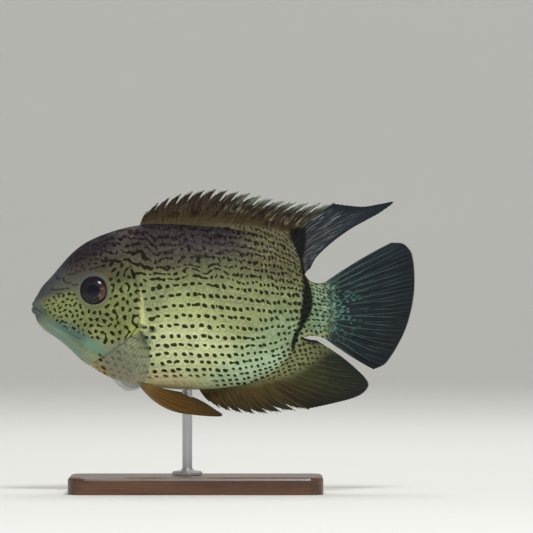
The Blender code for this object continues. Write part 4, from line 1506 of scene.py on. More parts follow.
@dataclass
class Skin:
    """The whole body's skin in one piece: lips, nostrils, eye rings and gill covers grow out of it."""

    body: Body
    livery: Livery
    columns: int = 224
    inset: float = 0.15
    nose_length: float = 0.9
    nose_steps: tuple[float, ...] = (0.12, 0.26, 0.4, 0.54, 0.67, 0.78, 0.87, 0.94, 0.985)
    lip: tuple[float, float] = (0.34, 0.62)
    lip_roll: tuple[float, float] = (1.5, 1.7)

    def stations(self) -> tuple[Array, Array, Array]:
        """Where the rings lie.

        Returns:
            Each ring's place in the table, its own x, and its size beside the table's.
        """
        fronts = np.array(self.nose_steps)
        snout = STATIONS[0][0]
        nose_x = snout - self.nose_length * np.sqrt(1 - fronts**2)
        runs = ((snout, 10.0, 0.21), (10.0, 58.0, 0.36), (58.0, 152.0, 0.8))
        root = np.linspace(152.0, STATIONS[-1][0], 8)
        rest = np.concatenate([*(np.arange(*run) for run in runs), root])
        table_x = np.concatenate([np.full(len(fronts), snout), rest])
        return table_x, np.concatenate([nose_x, rest]), np.concatenate([fronts, np.ones(len(rest))])

    def mouth(self, x: Array, z: Array) -> Array:
        """The height of the lips and the depth of the mouth's line.

        Args:
            x: Distances behind the snout.
            z: Heights above the long axis.

        Returns:
            How far the skin stands out.
        """
        slope = math.atan(GAPE_SLOPE)
        off = ((z - GAPE_FRONT[1]) + GAPE_SLOPE * (x - GAPE_FRONT[0])) * math.cos(slope)
        run = ((x - GAPE_FRONT[0]) - GAPE_SLOPE * (z - GAPE_FRONT[1])) * math.cos(slope)
        fade = 1 - smooth_step(3.6, 8.4, run)
        size = between(1.0, 0.4, smooth_step(0.0, 7.5, run))
        upper, lower = self.lip_roll[0] * size, self.lip_roll[1] * size
        up = np.sqrt(np.clip(1 - ((off - upper) / upper) ** 2, 0, 1)) * self.lip[0] * size
        down = np.sqrt(np.clip(1 - ((off + lower) / lower) ** 2, 0, 1)) * self.lip[1] * size
        groove = 0.55 * bell(off, 0.28) * (0.4 + 0.6 * size)
        crease = 0.14 * bell(off - 2 * upper - 0.2, 0.5) + 0.26 * bell(off + 2 * lower + 0.2, 0.6)
        muzzle = 0.6 * bell(off - 2 * upper - 0.9, 2.2) * (off > 0) * (1 - smooth_step(0.2, 4.5, x))
        muzzle = muzzle + 0.6 * bell(z - 12.2, 4.0) * (1 - smooth_step(3.0, 9.0, x - (z - 8.0) * 0.62))
        return (up + down - groove - crease * size) * fade + muzzle

    def relief(self, points: Array) -> Array:
        """How far the skin stands out of the bare body.

        Args:
            points: Places on the bare body.

        Returns:
            Heights, one for each place.
        """
        x, z = points[..., 0], points[..., 2]
        height = np.full(x.shape, -self.inset) + self.mouth(x, z)
        for side in Side:
            eye, nostril = (
                np.linalg.norm(points - self.body.on_flank(*place, side), axis=-1)
                for place in (EYE_PLACE, NOSTRIL_PLACE)
            )
            height = height - 2.0 * (1 - smooth_step(6.6, 7.9, eye))
            height = height + 0.32 * bell(nostril - 1.15, 0.4) - 1.1 * bell(nostril, 0.75)
        behind = x - along(GILL_EDGE, 0, z, key=1)
        covered = smooth_step(-33, -25, z) * (1 - smooth_step(20, 29, z))
        seam = smooth_step(-2.0, -0.8, behind) * (1 - smooth_step(0.5, 2.2, behind))
        height = height - 0.55 * covered * seam
        fold_x = along(CHEEK_FOLD, 0, np.clip(z, CHEEK_FOLD[-1][1], CHEEK_FOLD[0][1]), key=1)
        ridge = bell(x - fold_x, 0.8) * smooth_step(-20, -16, z) * (1 - smooth_step(8, 12, z))
        height = height - 0.3 * self.livery.stroke_weight(x, z, 0.42)
        jaw = bell(z + 7.2 + 0.52 * (x - 8.0), 0.6) * smooth_step(8, 12, x) * (1 - smooth_step(24, 32, x))
        return height - 0.28 * ridge - 0.3 * jaw

    def hide(self) -> bpy.types.Mesh:
        """The skin itself, from the nose to the tail's root.

        Returns:
            The painted mesh.
        """
        table_x, own_x, size = self.stations()
        mesh, band, column = Globe(len(table_x), self.columns).make("hide")
        turn = np.arange(self.columns) * 2 * math.pi / self.columns
        grid = self.body.section(table_x[:, None], turn[None, :])
        centre = (grid.max(axis=1, keepdims=True) + grid.min(axis=1, keepdims=True)) / 2
        grid = centre + (grid - centre) * size[:, None, None]
        grid[..., 0] = own_x[:, None]
        lengthwise = np.gradient(grid, axis=0)
        roundwise = np.roll(grid, -1, axis=1) - np.roll(grid, 1, axis=1)
        out = unit(np.cross(roundwise, lengthwise))
        raised = grid + out * self.relief(grid)[..., None]
        nose = raised[0].mean(axis=0, keepdims=True) - np.array([[0.02, 0, 0]])
        tail = raised[-1].mean(axis=0, keepdims=True) + np.array([[0.2, 0, 0]])
        nose, tail = (np.repeat(end[None], self.columns, 1) for end in (nose, tail))
        rows = np.concatenate([nose, raised, tail])
        bare = np.concatenate([grid[:1], grid, grid[-1:]])
        place_all(mesh, rows[band, column])
        x, z = bare[band, column, 0], bare[band, column, 2]
        self.livery.paint(mesh, x, z, np.cos(turn[column]) > 0)
        turn_outwards(mesh)
        return mesh

    def gill_cover(self, side: Side) -> bpy.types.Mesh:
        """The free rear part of a gill cover, a closed sheet with a rounded edge.

        Args:
            side: Which flank.

        Returns:
            The painted mesh.
        """
        slab, thick = Slab(96, 44), 0.45
        heights = np.linspace(-30.0, 27.5, slab.across + 1)[:, None]
        share = np.linspace(0, 1, slab.up + 1)[None, :] ** 1.6
        ahead = share * 17.0
        fade = smooth_step(-30.5, -23, heights) * (1 - smooth_step(17, 28, heights))
        rise = 0.95 * fade * np.exp(-ahead / 6.0) - 0.38 * np.exp(-ahead / 0.22)
        sink = 0.5 * smooth_step(0.72, 1.0, share) + 0.25 * (1 - fade)
        mesh, column, row, front = slab.make("gill_cover")
        x = (along(GILL_EDGE, 0, heights, key=1) - ahead)[column, row]
        z = (heights - ahead * 0.12)[column, row]
        height = (rise - sink - 0.04)[column, row] - np.where(front, 0.0, thick)
        place_all(mesh, self.body.on_flank(x, z, side, height))
        self.livery.paint(mesh, x, z, side is Side.RIGHT)
        turn_outwards(mesh)
        return mesh

    def eye_ring(self, side: Side) -> bpy.types.Mesh:
        """The soft raised ring round an eye.

        Args:
            side: Which flank.

        Returns:
            The painted mesh.
        """
        mesh = to_mesh(lathe(EYE_RING, 112, closed=True), "eye_ring")
        co = places_of(mesh)
        x, z = EYE_PLACE[0] + co[:, 0], EYE_PLACE[1] + co[:, 1]
        place_all(mesh, self.body.on_flank(x, z, side, co[:, 2]))
        self.livery.paint(mesh, x, z, side is Side.RIGHT)
        turn_outwards(mesh)
        return mesh

    def build(self, finish: bpy.types.Material) -> bpy.types.Object:
        """Builds the skin with everything that grows from it.

        Args:
            finish: Its material.

        Returns:
            The piece.
        """
        meshes = [self.hide()]
        for side in Side:
            meshes += [self.gill_cover(side), self.eye_ring(side)]
        return show("skin", join("skin", meshes), finish, "skin_head", "head", "torso", "tail_stem")


@dataclass
class Scales:
    """The scales of one flank, each a thin plate that lies over the front of the next."""

    body: Body
    livery: Livery
    rows: ScaleRows
    side: Side
    front: float = -0.75
    rear: float = 0.62
    half: float = 0.62
    sunk: float = 0.08
    lift: float = 0.27
    crown: float = 0.11
    thick: float = 0.1
    round_off: float = 0.4
    edge: float = 1.0
    last: float = 153.5
    net: tuple[int, int] = (6, 5)
    u_range: tuple[int, int] = (-9, 36)
    v_range: tuple[int, int] = (0, 20)

    def seats(self) -> tuple[Array, Array]:
        """Finds the scales that lie on the flank.

        Returns:
            The column and row of each.
        """
        columns, rows = (np.arange(low, high + 1.0) for low, high in (self.u_range, self.v_range))
        u, v = (part.ravel() for part in np.meshgrid(columns, rows))
        x, z = self.rows.place(u, v)
        inside = (z < self.body.back(x) - self.edge) & (z > self.body.belly(x) + self.edge)
        gill = along(GILL_EDGE, 0, z, key=1)
        behind_head = np.where(z > 24, x > 40 + (z < 30) * 4, x > gill + 2.6)
        kept = inside & behind_head & (x < self.last)
        return u[kept], v[kept]

    def build(self, finish: bpy.types.Material) -> bpy.types.Object:
        """Builds the flank's scales as one piece.

        Args:
            finish: Their material.

        Returns:
            The piece.
        """
        u, v = self.seats()
        pattern, column, row, is_front = Slab(*self.net).make("scale")
        s, t = column / self.net[0], row * 2 / self.net[1] - 1
        ahead = self.front + (self.rear - self.front) * s * (1 - self.round_off * t**2 * s)
        net_u = u[:, None] + ahead[None]
        net_v = v[:, None] + (t * self.half * (1 - 0.12 * s**3))[None]
        x, z = self.rows.place(net_u, net_v)
        top, foot = self.body.back(x), self.body.belly(x)
        size = smooth_step(0.0, 3.0, np.minimum(top - z, z - foot).min(axis=1))[:, None]
        z = np.clip(z, foot + 0.15, top - 0.15)
        calm = between(0.4, 1.0, smooth_step(4.0, 8.5, v))[:, None]
        dive = -0.34 * (1 - smooth_step(0.0, 0.35, s))
        rise = dive + self.lift * s - self.crown * t**2 * (0.4 + 0.6 * s)
        height = rise[None] * (0.35 + 0.65 * size) * calm - self.sunk
        height = height - np.where(is_front, 0.0, self.thick)[None]
        copies = self.body.on_flank(x, z, self.side, height)
        mesh = repeat("scales", pattern, copies)
        self.livery.paint(mesh, x.ravel(), z.ravel(), self.side is Side.RIGHT)
        self.unwrap(mesh, u, v, s, t)
        turn_outwards(mesh)
        log.info("%s flank: %d scales", self.side.word, len(u))
        return show(f"scales_{self.side.word}", mesh, finish, "skin_flank")

    def unwrap(self, mesh: bpy.types.Mesh, u: Array, v: Array, s: Array, t: Array) -> None:
        """Gives each scale a patch of its own at its place on the flank's unrolled net.

        Args:
            mesh: The joined scales.
            u: Each scale's column.
            v: Each scale's row.
            s: Each vertex's share of the way along its scale.
            t: Each vertex's place across its scale, from -1 to 1.
        """
        low_u, high_u = self.u_range
        low_v, high_v = self.v_range
        map_u = (u[:, None] - low_u + 0.06 + 0.88 * s[None]) / (high_u - low_u + 1)
        map_v = 1 - (v[:, None] - low_v + 0.5 + 0.44 * t[None]) / (high_v - low_v + 1)
        flat = np.stack([map_u.ravel(), map_v.ravel()], axis=-1)
        corners = flat[read(mesh.loops, "vertex_index")].astype(np.float32)
        mesh.uv_layers.new(name="OFBake").data.foreach_set("uv", corners.ravel())


@dataclass
class Eyes:
    """The two glossy eyes, flattened domes deep in their sockets."""

    body: Body
    radius: float = 7.45
    depth: float = 3.7
    sunk: float = 1.55

    def build(self, side: Side, finish: bpy.types.Material) -> bpy.types.Object:
        """Builds one eye.

        Args:
            side: Which eye.
            finish: Its material.

        Returns:
            The piece.
        """
        bm = bmesh.new()
        bmesh.ops.create_uvsphere(bm, u_segments=72, v_segments=40, radius=1)
        bmesh.ops.scale(bm, vec=(self.radius, self.radius, self.depth), verts=bm.verts)
        mesh = to_mesh(bm, "eye")
        local = places_of(mesh)
        seat = self.body.frame(*EYE_PLACE, side) @ Matrix.Translation((0, 0, -self.sunk))
        turned = local @ np.array(seat.to_3x3()).T + np.array(seat.translation)
        place_all(mesh, turned)
        store(mesh, "eye", local)
        return show(f"eyeball_{side.word}", mesh, finish, "eye", f"eye_{side.word}")


@dataclass
class RayFan:
    """A fin's rays as arrays: roots, tips, and how far the middle of each bows out."""

    roots: Array
    tips: Array
    bows: Array

    def at(self, c: Array, s: Array) -> Array:
        """Places in the fan.

        Args:
            c: Ray numbers, whole on a ray and between in the web.
            s: Shares of the way from root to tip.

        Returns:
            Places on the fish, one row each.
        """
        c, s = np.broadcast_arrays(np.asarray(c, float), np.asarray(s, float))
        last = len(self.roots) - 1
        low = np.clip(np.floor(c).astype(int), 0, last - 1)
        part = (c - low)[..., None]
        way = s[..., None]
        root = between(self.roots[low], self.roots[low + 1], part)
        bow = between(self.bows[low], self.bows[low + 1], part)
        before, here = self.tips[np.maximum(low - 1, 0)], self.tips[low]
        after, beyond = self.tips[low + 1], self.tips[np.minimum(low + 2, last)]
        bend = (2 * before - 5 * here + 4 * after - beyond) * part**2
        twist = (3 * here - before - 3 * after + beyond) * part**3
        tip = (2 * here + (after - before) * part + bend + twist) / 2
        return between(root, tip, way) + bow * 4 * way * (1 - way)


class RayKind(Enum):
    """How a fin's rays end."""

    SPINE = "one stiff point"
    SOFT = "forked twice"


@dataclass(frozen=True)
class FinPaint:
    """Where a fin's colours lie: plain smoke from root to tip unless a fin's own kind says more."""

    livery: Livery
    stops: ClassVar[Stops] = ((0.0, (120, 126, 100)), (0.4, (132, 136, 122)), (1.0, (120, 126, 120)))
    scale_tone: ClassVar[Colour] = (98, 94, 68)

    def ground(self, points: Array, c: Array, s: Array) -> Array:
        """The ground colour, as light, at places on the fin, by ray number and share of the way out."""
        return mixed(self.web(c, s), self.scale_tone, self.scaled(points))

    def web(self, c: Array, s: Array) -> Array:
        """The bare web's colour, by ray number and share of the way out."""
        return blended(self.stops, s)

    def scaled(self, points: Array) -> Array:
        """1 where the body's dotted scales run out over the fin's root."""
        return np.zeros(len(points))

    def zone(self, points: Array) -> Array:
        """How much of the zoned marks shows."""
        return np.ones(len(points))


class SpinyDorsalPaint(FinPaint):
    """Olive-brown at the root, dark brown above, with pale green tips towards the rear."""

    stops = ((0.0, (78, 70, 47)), (0.25, (62, 51, 33)), (0.55, (45, 34, 26)), (1.0, (40, 35, 30)))
    tip_tone: ClassVar[Colour] = (126, 144, 130)

    def web(self, c: Array, s: Array) -> Array:
        """The web's colour with the pale tips."""
        tips = smooth_step(6, 11, c) * smooth_step(0.72, 0.97, s) * 0.8
        return mixed(super().web(c, s), self.tip_tone, tips)

    def scaled(self, points: Array) -> Array:
        """1 under the line that the rear scales reach."""
        across, down = photo_place(points[:, 0], points[:, 2])
        return smooth_step(-2.0, 2.0, down - along(DORSAL_SCALES, 1, across)) * smooth_step(200, 235, across)

    def zone(self, points: Array) -> Array:
        """The pale streaks show towards the rear."""
        return 0.25 + 0.75 * smooth_step(92, 108, points[:, 0])


class SoftDorsalPaint(FinPaint):
    """Smoky blue-grey, browner at the root."""

    stops = ((0.0, (50, 46, 38)), (0.25, (44, 47, 48)), (0.7, (34, 42, 48)), (1.0, (28, 34, 41)))

    def scaled(self, points: Array) -> Array:
        """1 ahead of the black band, where the rear scales reach."""
        across, down = photo_place(points[:, 0], points[:, 2])
        return smooth_step(-2, 1, along(BAND_FRONT, 1, down) - across) * smooth_step(-2, 2, down - 232)

    def zone(self, points: Array) -> Array:
        """The pale dashes thin out towards the tip."""
        return 1 - smooth_step(158, 176, points[:, 0])


class SpinyAnalPaint(FinPaint):
    """Amber, paler at the root and dark along the lower edge."""

    stops = (
        (0.0, (88, 82, 48)), (0.3, (62, 52, 26)), (0.7, (46, 42, 26)),
        (0.9, (28, 28, 24)), (1.0, (24, 26, 26)),
    )
    scale_tone = (146, 152, 110)

    def scaled(self, points: Array) -> Array:
        """1 above the line that the scales reach."""
        across, down = photo_place(points[:, 0], points[:, 2])
        return smooth_step(-7.0, 5.0, along(ANAL_SCALES, 1, across) - down) * smooth_step(225, 255, across)

    def zone(self, points: Array) -> Array:
        """The amber streaks show on the front part."""
        return 1 - smooth_step(120, 136, points[:, 0])


class SoftAnalPaint(SpinyAnalPaint):
    """Dotted and pale at the root, amber to grey-green, with a black upper rear edge."""

    stops = ((0.0, (92, 84, 50)), (0.3, (58, 49, 27)), (0.7, (41, 38, 25)), (1.0, (24, 26, 26)))
    rear: ClassVar[Stops] = (
        (0.0, (104, 108, 76)), (0.3, (62, 64, 38)), (0.6, (42, 47, 34)), (1.0, (30, 35, 32)),
    )
    scale_tone = (130, 134, 94)
    edge_tone: ClassVar[Colour] = (10, 11, 13)

    def web(self, c: Array, s: Array) -> Array:
        """The web's colour, from amber in front to grey-green behind."""
        return mixed(super().web(c, s), blended(self.rear, s), smooth_step(0.5, 6.0, c))

    def ground(self, points: Array, c: Array, s: Array) -> Array:
        """The ground colour, its scales paler at the root and its edge black.

        Args:
            points: Places on the fish.
            c: Ray numbers.
            s: Shares of the way out.

        Returns:
            Red, green and blue as light, one row each.
        """
        scaled = self.scaled(points) * (1 - 0.45 * smooth_step(0.1, 0.5, s))
        edge = smooth_step(11.0, 11.8, c) * smooth_step(0.02, 0.1, s) * 0.95
        return mixed(mixed(self.web(c, s), self.scale_tone, scaled), self.edge_tone, edge)


class TailPaint(FinPaint):
    """Smoky blue-grey, its root scaly and pale green, with turquoise flecks beyond."""

    stops = ((0.0, (46, 58, 56)), (0.2, (36, 47, 50)), (0.6, (30, 38, 43)), (1.0, (31, 36, 41)))
    scale_tone = (118, 142, 116)

    def scaled(self, points: Array) -> Array:
        """1 up to a line that bows out behind the root."""
        return self.livery.ahead_of_tail(points[:, 0], points[:, 2])

    def zone(self, points: Array) -> Array:
        """The turquoise flecks lie in the middle, near the root."""
        x, z = points[:, 0], points[:, 2]
        return bell(z - 0.5, 9.5) * (1 - smooth_step(163, 176, x)) + 0.25 * (1 - smooth_step(158, 168, x))


class PelvicPaint(FinPaint):
    """Amber brown, with a pale leading edge."""

    stops = ((0.0, (114, 88, 46)), (0.35, (100, 70, 30)), (0.8, (84, 62, 30)), (1.0, (66, 56, 34)))
    edge_tone: ClassVar[Colour] = (120, 124, 96)

    def web(self, c: Array, s: Array) -> Array:
        """The web's colour with its pale leading edge."""
        return mixed(super().web(c, s), self.edge_tone, (1 - smooth_step(0.0, 0.35, c)) * 0.8)


@dataclass
class Fin:
    """A fin: a thin web, and its rays as fine tapering rods raised on both faces."""

    name: str
    node: str
    slot: str
    fan: RayFan
    kind: RayKind
    paint: FinPaint
    root_radius: float = 0.6
    tip_radius: float = 0.12
    web: float = 0.3
    flesh: tuple[float, float] = (1.1, 1.1)
    flesh_reach: float = 3.5
    spiny_edge: tuple[float, float] = (0.96, 0.36)
    strands: int = 7
    sunk: float = 0.05
    per_web: int = 8
    rows: int = 56
    forks: tuple[float, float] = (0.34, 0.62)

    def reach(self, c: Array) -> Array:
        """How far out the web goes between the rays.

        Args:
            c: Ray numbers, whole or not.

        Returns:
            Shares of the rays' length.
        """
        part = c - np.floor(c)
        if self.kind is RayKind.SPINE:
            ahead, cleft = self.spiny_edge
            odd = 0.8 + 0.4 * np.abs(np.sin(np.floor(c) * 2.3 + 0.7)) + 0.5 * (1 - smooth_step(0, 4, c))
            edge = ahead - cleft * odd * np.exp(-((part / 0.34) ** 1.2))
            return np.where((part < 0.001) | (part > 0.999), ahead, edge)
        return 0.992 - 0.012 * (0.5 + 0.5 * np.cos(8 * math.pi * part))

    def membrane(self) -> bpy.types.Mesh:
        """The web between the rays.

        Returns:
            The painted mesh.
        """
        count = len(self.fan.roots) - 1
        slab = Slab(count * self.per_web, self.rows)
        mesh, column, row, front = slab.make("web")
        c_line = np.arange(slab.across + 1) / self.per_web
        share = between(-self.sunk, 1.0, np.linspace(0, 1, self.rows + 1))
        c = np.repeat(c_line[:, None], self.rows + 1, axis=1)
        s = share[None, :] * np.where(share[None, :] > 0, self.reach(c_line)[:, None], 1.0)
        middle = self.fan.at(c, s)
        out = unit(np.cross(np.gradient(middle, axis=0), np.gradient(middle, axis=1)))
        length = np.linalg.norm(self.fan.tips - self.fan.roots, axis=-1)
        far = np.clip(s, 0, 1) * np.interp(c_line, np.arange(count + 1), length)[:, None]
        thin = between(self.web, self.web * 0.45, np.clip(s, 0, 1) ** 0.7)
        flesh = between(*self.flesh, smooth_step(0.3, 1.0, c / count))
        thin = thin + flesh * np.exp(-((far / self.flesh_reach) ** 1.5))
        crest = 0.10 * np.sin(2 * math.pi * c * 2 + 4 * s) * np.sin(math.pi * np.clip(s, 0, 1))
        shift = crest[column, row] + np.where(front, 0.5, -0.5) * thin[column, row]
        points = middle[column, row] + out[column, row] * shift[:, None]
        place_all(mesh, points)
        self.mark(mesh, points, c[column, row], s[column, row], 0.0)
        return mesh

    def mark(self, mesh: bpy.types.Mesh, points: Array, c: Array, s: Array, ridge: float) -> None:
        """Stores a fin's colours.

        Args:
            mesh: The mesh.
            points: Places of its vertices on the fish.
            c: Their ray numbers.
            s: Their shares of the way out.
            ridge: 1 on rays, 0 on the web.
        """
        store(mesh, "fan", np.stack([c, s, np.full(c.shape, ridge)], axis=-1))
        store(mesh, "ground", self.paint.ground(points, c, s))
        marks = (self.paint.scaled(points), self.paint.zone(points), np.zeros(len(points)))
        store(mesh, "patches", np.stack(marks, axis=-1))
        x, z = points[:, 0], points[:, 2]
        self.paint.livery.net_marks(mesh, x, z, points[:, 1] > self.paint.livery.body.middle(x))

    def spine_paths(self, steps: int) -> list[tuple[Array, Array, float]]:
        """The lines of stiff spines, and of the fine strands in the webs between them.

        Args:
            steps: How many points a line has.

        Returns:
            Ray numbers, shares of the way out and a size for each line.
        """
        chance = np.random.default_rng(5)
        count = len(self.fan.roots)
        whole = np.linspace(-self.sunk, 1.0, steps)
        paths = [(np.full(steps, float(number)), whole, 1.0) for number in range(count)]
        for number in range(count - 1):
            for strand in range(1, self.strands + 1):
                place = number + strand / (self.strands + 1) + chance.uniform(-0.05, 0.05)
                end = float(self.reach(np.array(place))) + chance.uniform(0.01, 0.09)
                paths.append((np.full(steps, place), np.linspace(-self.sunk, end, steps), 0.6))
        return paths

    def soft_paths(self, steps: int) -> list[tuple[Array, Array, float]]:
        """The lines of soft rays, each forked twice towards its tip.

        Args:
            steps: How many points a line has.

        Returns:
            Ray numbers, shares of the way out and a size for each line.
        """
        first, second = self.forks
        paths = []

        def spread(s: Array) -> Array:
            """How far the two halves of a ray have parted."""
            return 0.25 * smooth_step(first - 0.15, 0.98, s)

        for number in range(len(self.fan.roots)):
            s = np.linspace(-self.sunk, first + 0.02, steps)
            paths.append((np.full(steps, float(number)), s, 1.0))
            for way in (-1, 1):
                s = np.linspace(first, second + 0.02, steps)
                paths.append((number + spread(s) * way, s, 0.74))
                for twig in (-1, 1):
                    s = np.linspace(second, 0.995, steps)
                    fork = 0.125 * smooth_step(second - 0.05, 1.0, s) * twig
                    paths.append((number + spread(s) * way + fork, s, 0.56))
        return paths

    def rods(self) -> bpy.types.Mesh:
        """The rays, as fine tapering rods along their lines.

        Returns:
            The painted mesh.
        """
        steps, sides, last = 26, 6, len(self.fan.roots) - 1
        paths = self.spine_paths(steps) if self.kind is RayKind.SPINE else self.soft_paths(steps)
        c = np.clip(np.stack([path[0] for path in paths]), 0, last)
        s = np.stack([path[1] for path in paths])
        size = np.array([path[2] for path in paths])[:, None]
        middle = self.fan.at(c, s)
        run = unit(np.gradient(middle, axis=1))
        after, before = (self.fan.at(np.clip(c + step, 0, last), s) for step in (0.12, -0.12))
        out = unit(np.cross(after - before, run))
        aside = unit(np.cross(run, out))
        pattern, band, column = Globe(steps, sides).make("rod")
        turn = column * 2 * math.pi / sides
        index = np.clip(band - 1, 0, steps - 1)
        pole = (band == 0) | (band == steps + 1)
        radius = between(self.root_radius, self.tip_radius, np.clip(s, 0, 1) ** 0.75) * size
        here = radius[:, index] * np.where(pole, 0.0, 1.0)[None]
        round_it = aside[:, index] * (np.cos(turn)[None] * here)[..., None]
        copies = middle[:, index] + (round_it + out[:, index] * (np.sin(turn)[None] * here)[..., None])
        mesh = repeat("rods", pattern, copies)
        self.mark(mesh, copies.reshape(-1, 3), c[:, index].ravel(), s[:, index].ravel(), 1.0)
        return mesh

    def build(self, finish: bpy.types.Material, ray_finish: bpy.types.Material | None = None) -> None:
        """Builds the fin, in one piece unless its rays have a finish of their own.

        Args:
            finish: The web's material.
            ray_finish: The rays' own material, if they have one.
        """
        web, rods = self.membrane(), self.rods()
        for mesh in (web, rods):
            turn_outwards(mesh)
        if ray_finish is None:
            show(self.name, join(self.name, (web, rods)), finish, self.slot, self.node)
            return
        show(f"{self.name}_web", web, finish, self.slot, self.node)
        show(self.name, rods, ray_finish, self.slot, self.node)


@dataclass
class Fins:
    """All the fins, their rays worked out from the body and the tips."""

    body: Body
    livery: Livery

    def outline(self, x: Array, up: int) -> Array:
        """Places on the back, or under the belly."""
        z = self.body.back(x) if up > 0 else self.body.belly(x)
        return np.stack([x, self.body.middle(x), z], axis=-1)

    def edge_fan(
        self, up: int, count: int, roots: tuple[float, float], tips: Table, bow: tuple[float, float]
    ) -> RayFan:
        """The rays of one part of the back or belly fin.

        Args:
            up: 1 for the back, -1 for the belly.
            count: How many rays.
            roots: Where the first and last ray grow.
            tips: The table of tips.
            bow: How far a ray bows back and up, beside its length.

        Returns:
            The rays.
        """
        root = self.outline(np.linspace(*roots, count), up)
        number = np.arange(count)
        tip_x = along(tips, 1, number)
        tip = np.stack([tip_x, self.body.middle(tip_x), along(tips, 2, number)], axis=-1)
        length = np.linalg.norm(tip - root, axis=-1, keepdims=True)
        return RayFan(root, tip, np.array([[bow[0], 0.0, bow[1] * up]]) * length)

    @staticmethod
    def with_next(fan: RayFan, after: RayFan) -> RayFan:
        """A fan whose web reaches to the first ray of the next one."""
        pairs = ((fan.roots, after.roots), (fan.tips, after.tips), (fan.bows, after.bows))
        return RayFan(*(np.concatenate([own, other[:1]]) for own, other in pairs))

    def tail_fan(self) -> RayFan:
        """Works out the tail fin's rays.

        Returns:
            The rays.
        """
        count = 16
        share = np.linspace(0, 1, count)
        root_x = np.full(count, 152.0)
        root = np.stack([root_x, self.body.middle(root_x), between(14.4, -14.8, share) * 0.94], axis=-1)
        tip_x, tip_z = along(TAIL_TIPS, 1, np.arange(count)), along(TAIL_TIPS, 2, np.arange(count))
        tip = np.stack([tip_x, self.body.middle(tip_x) + between(2.0, 10.0, share), tip_z], axis=-1)
        length = np.linalg.norm(tip - root, axis=-1)
        bow = np.stack([np.zeros(count), -0.05 * length, 0.06 * length * (0.5 - share)], axis=-1)
        return RayFan(root, tip, bow)

    @staticmethod
    def paired_fan(root: Array, tips: Table, bow: Array, side: Side) -> RayFan:
        """Works out the rays of one of two like fins.

        Args:
            root: Where the rays grow on the right flank.
            tips: The table of tips.
            bow: How far each ray bows out, beside its length.
            side: Which fin.

        Returns:
            The rays.
        """
        number = np.arange(len(root))
        tip = np.stack([along(tips, column, number) for column in (1, 2, 3)], axis=-1)
        bow = bow * np.linalg.norm(tip - root, axis=-1, keepdims=True)
        return RayFan(*(part * np.array([[1, side.value, 1]]) for part in (root, tip, bow)))

    def pelvic_fan(self, side: Side) -> RayFan:
        """Works out a pelvic fin's rays, the first of them its spine.

        Args:
            side: Which fin.

        Returns:
            The rays.
        """
        share = np.linspace(0, 1, 6)[:, None]
        root = between(np.array([[55.6, 5.6, -38.6]]), np.array([[61.2, 5.0, -39.6]]), share)
        bow = np.concatenate([share * 0 - 0.05, share * 0 + 0.02, -0.12 * (1 - share)], axis=-1)
        return self.paired_fan(root, PELVIC_TIPS, bow, side)

    def pectoral_fan(self, side: Side) -> RayFan:
        """Works out a pectoral fin's rays, fanned forward and down from the flank.

        Args:
            side: Which fin.

        Returns:
            The rays.
        """
        share = np.linspace(0, 1, 12)
        root = self.body.on_flank(between(56.8, 60.4, share), between(-11.0, -19.6, share), Side.RIGHT)
        return self.paired_fan(root, PECTORAL_TIPS, np.array([[0.06, 0.10, 0.0]]), side)

    def build(self) -> None:
        """Builds every fin."""
        smudges = Streaks((28, 14, 10), 1.9, 2.4, 0.5, (0.22, 0.66), 0.85, 3.0)
        hairs = Streaks((26, 15, 11), 8.0, 3.0, 0.53, (0.0, 1.0), 0.6, 4.0)
        # painted highlights: pale glints along the outer part of the spiny fin, mostly towards its rear
        glints = Streaks((136, 146, 124), 9.0, 3.2, 0.55, (0.45, 1.0), 0.7, 7.0, True)
        buff = Dashes((140, 124, 84), 2.0, 4.0, 0.4, (0.34, 0.5), 0.5, 12.0, True, (0.36, 0.16))
        tan = FinFinish("tan_fin", (96, 86, 68), 0.45, (smudges, hairs, buff, glints)).make()
        pale = Streaks((136, 142, 146), 6.5, 4.0, 0.53, (0.04, 0.8), 0.7, 5.0, True)
        smoke = FinFinish("smoky_fin", (64, 74, 80), 0.5, (pale,)).make()
        flecks = Dashes((96, 146, 130), 2.0, 14.0, 0.6, (0.0, 0.5), 0.7, 9.0, True)
        dark_webs = Streaks((13, 19, 22), 6.0, 1.6, 0.51, (0.1, 1.0), 0.7, 8.0)
        tail = FinFinish("tail_fin_finish", (84, 98, 100), 0.65, (dark_webs, flecks)).make()
        amber_glow = Streaks((98, 72, 34), 3.0, 1.6, 0.5, (0.05, 0.8), 0.5, 13.0, True)
        brown_hairs = Streaks((32, 26, 16), 7.0, 2.0, 0.53, (0.0, 1.0), 0.55, 14.0)
        layers = (amber_glow, brown_hairs)
        amber = FinFinish("amber_fin", (98, 88, 56), 0.45, layers, mark_tone=(40, 42, 18)).make()
        rust = FinFinish("amber_pelvic_fin", (112, 88, 48), 0.5, scaly=False).make()
        clear = FinFinish("clear_fin_web", (138, 132, 102), 0.5, alpha=0.27, scaly=False).make()
        clear_rays = FinFinish("clear_fin_rays", (112, 106, 84), 0.5, alpha=0.26, scaly=False).make()
        soft_dorsal = self.edge_fan(1, 13, (131.6, 141.2), DORSAL_RAY_TIPS, (-0.055, 0.03))
        spiny_dorsal = self.edge_fan(1, 16, (56.2, 129.6), DORSAL_SPINE_TIPS, (-0.055, 0.03))
        soft_anal = self.edge_fan(-1, 13, (119.2, 140.6), ANAL_RAY_TIPS, (-0.04, 0.03))
        spiny_anal = self.edge_fan(-1, 8, (87.2, 117.0), ANAL_SPINE_TIPS, (-0.04, 0.03))
        spine, soft = RayKind.SPINE, RayKind.SOFT

        def fin(*given: object, paint: type[FinPaint], **sizes: object) -> Fin:
            """One fin with its paint."""
            return Fin(*given, paint(self.livery), **sizes)

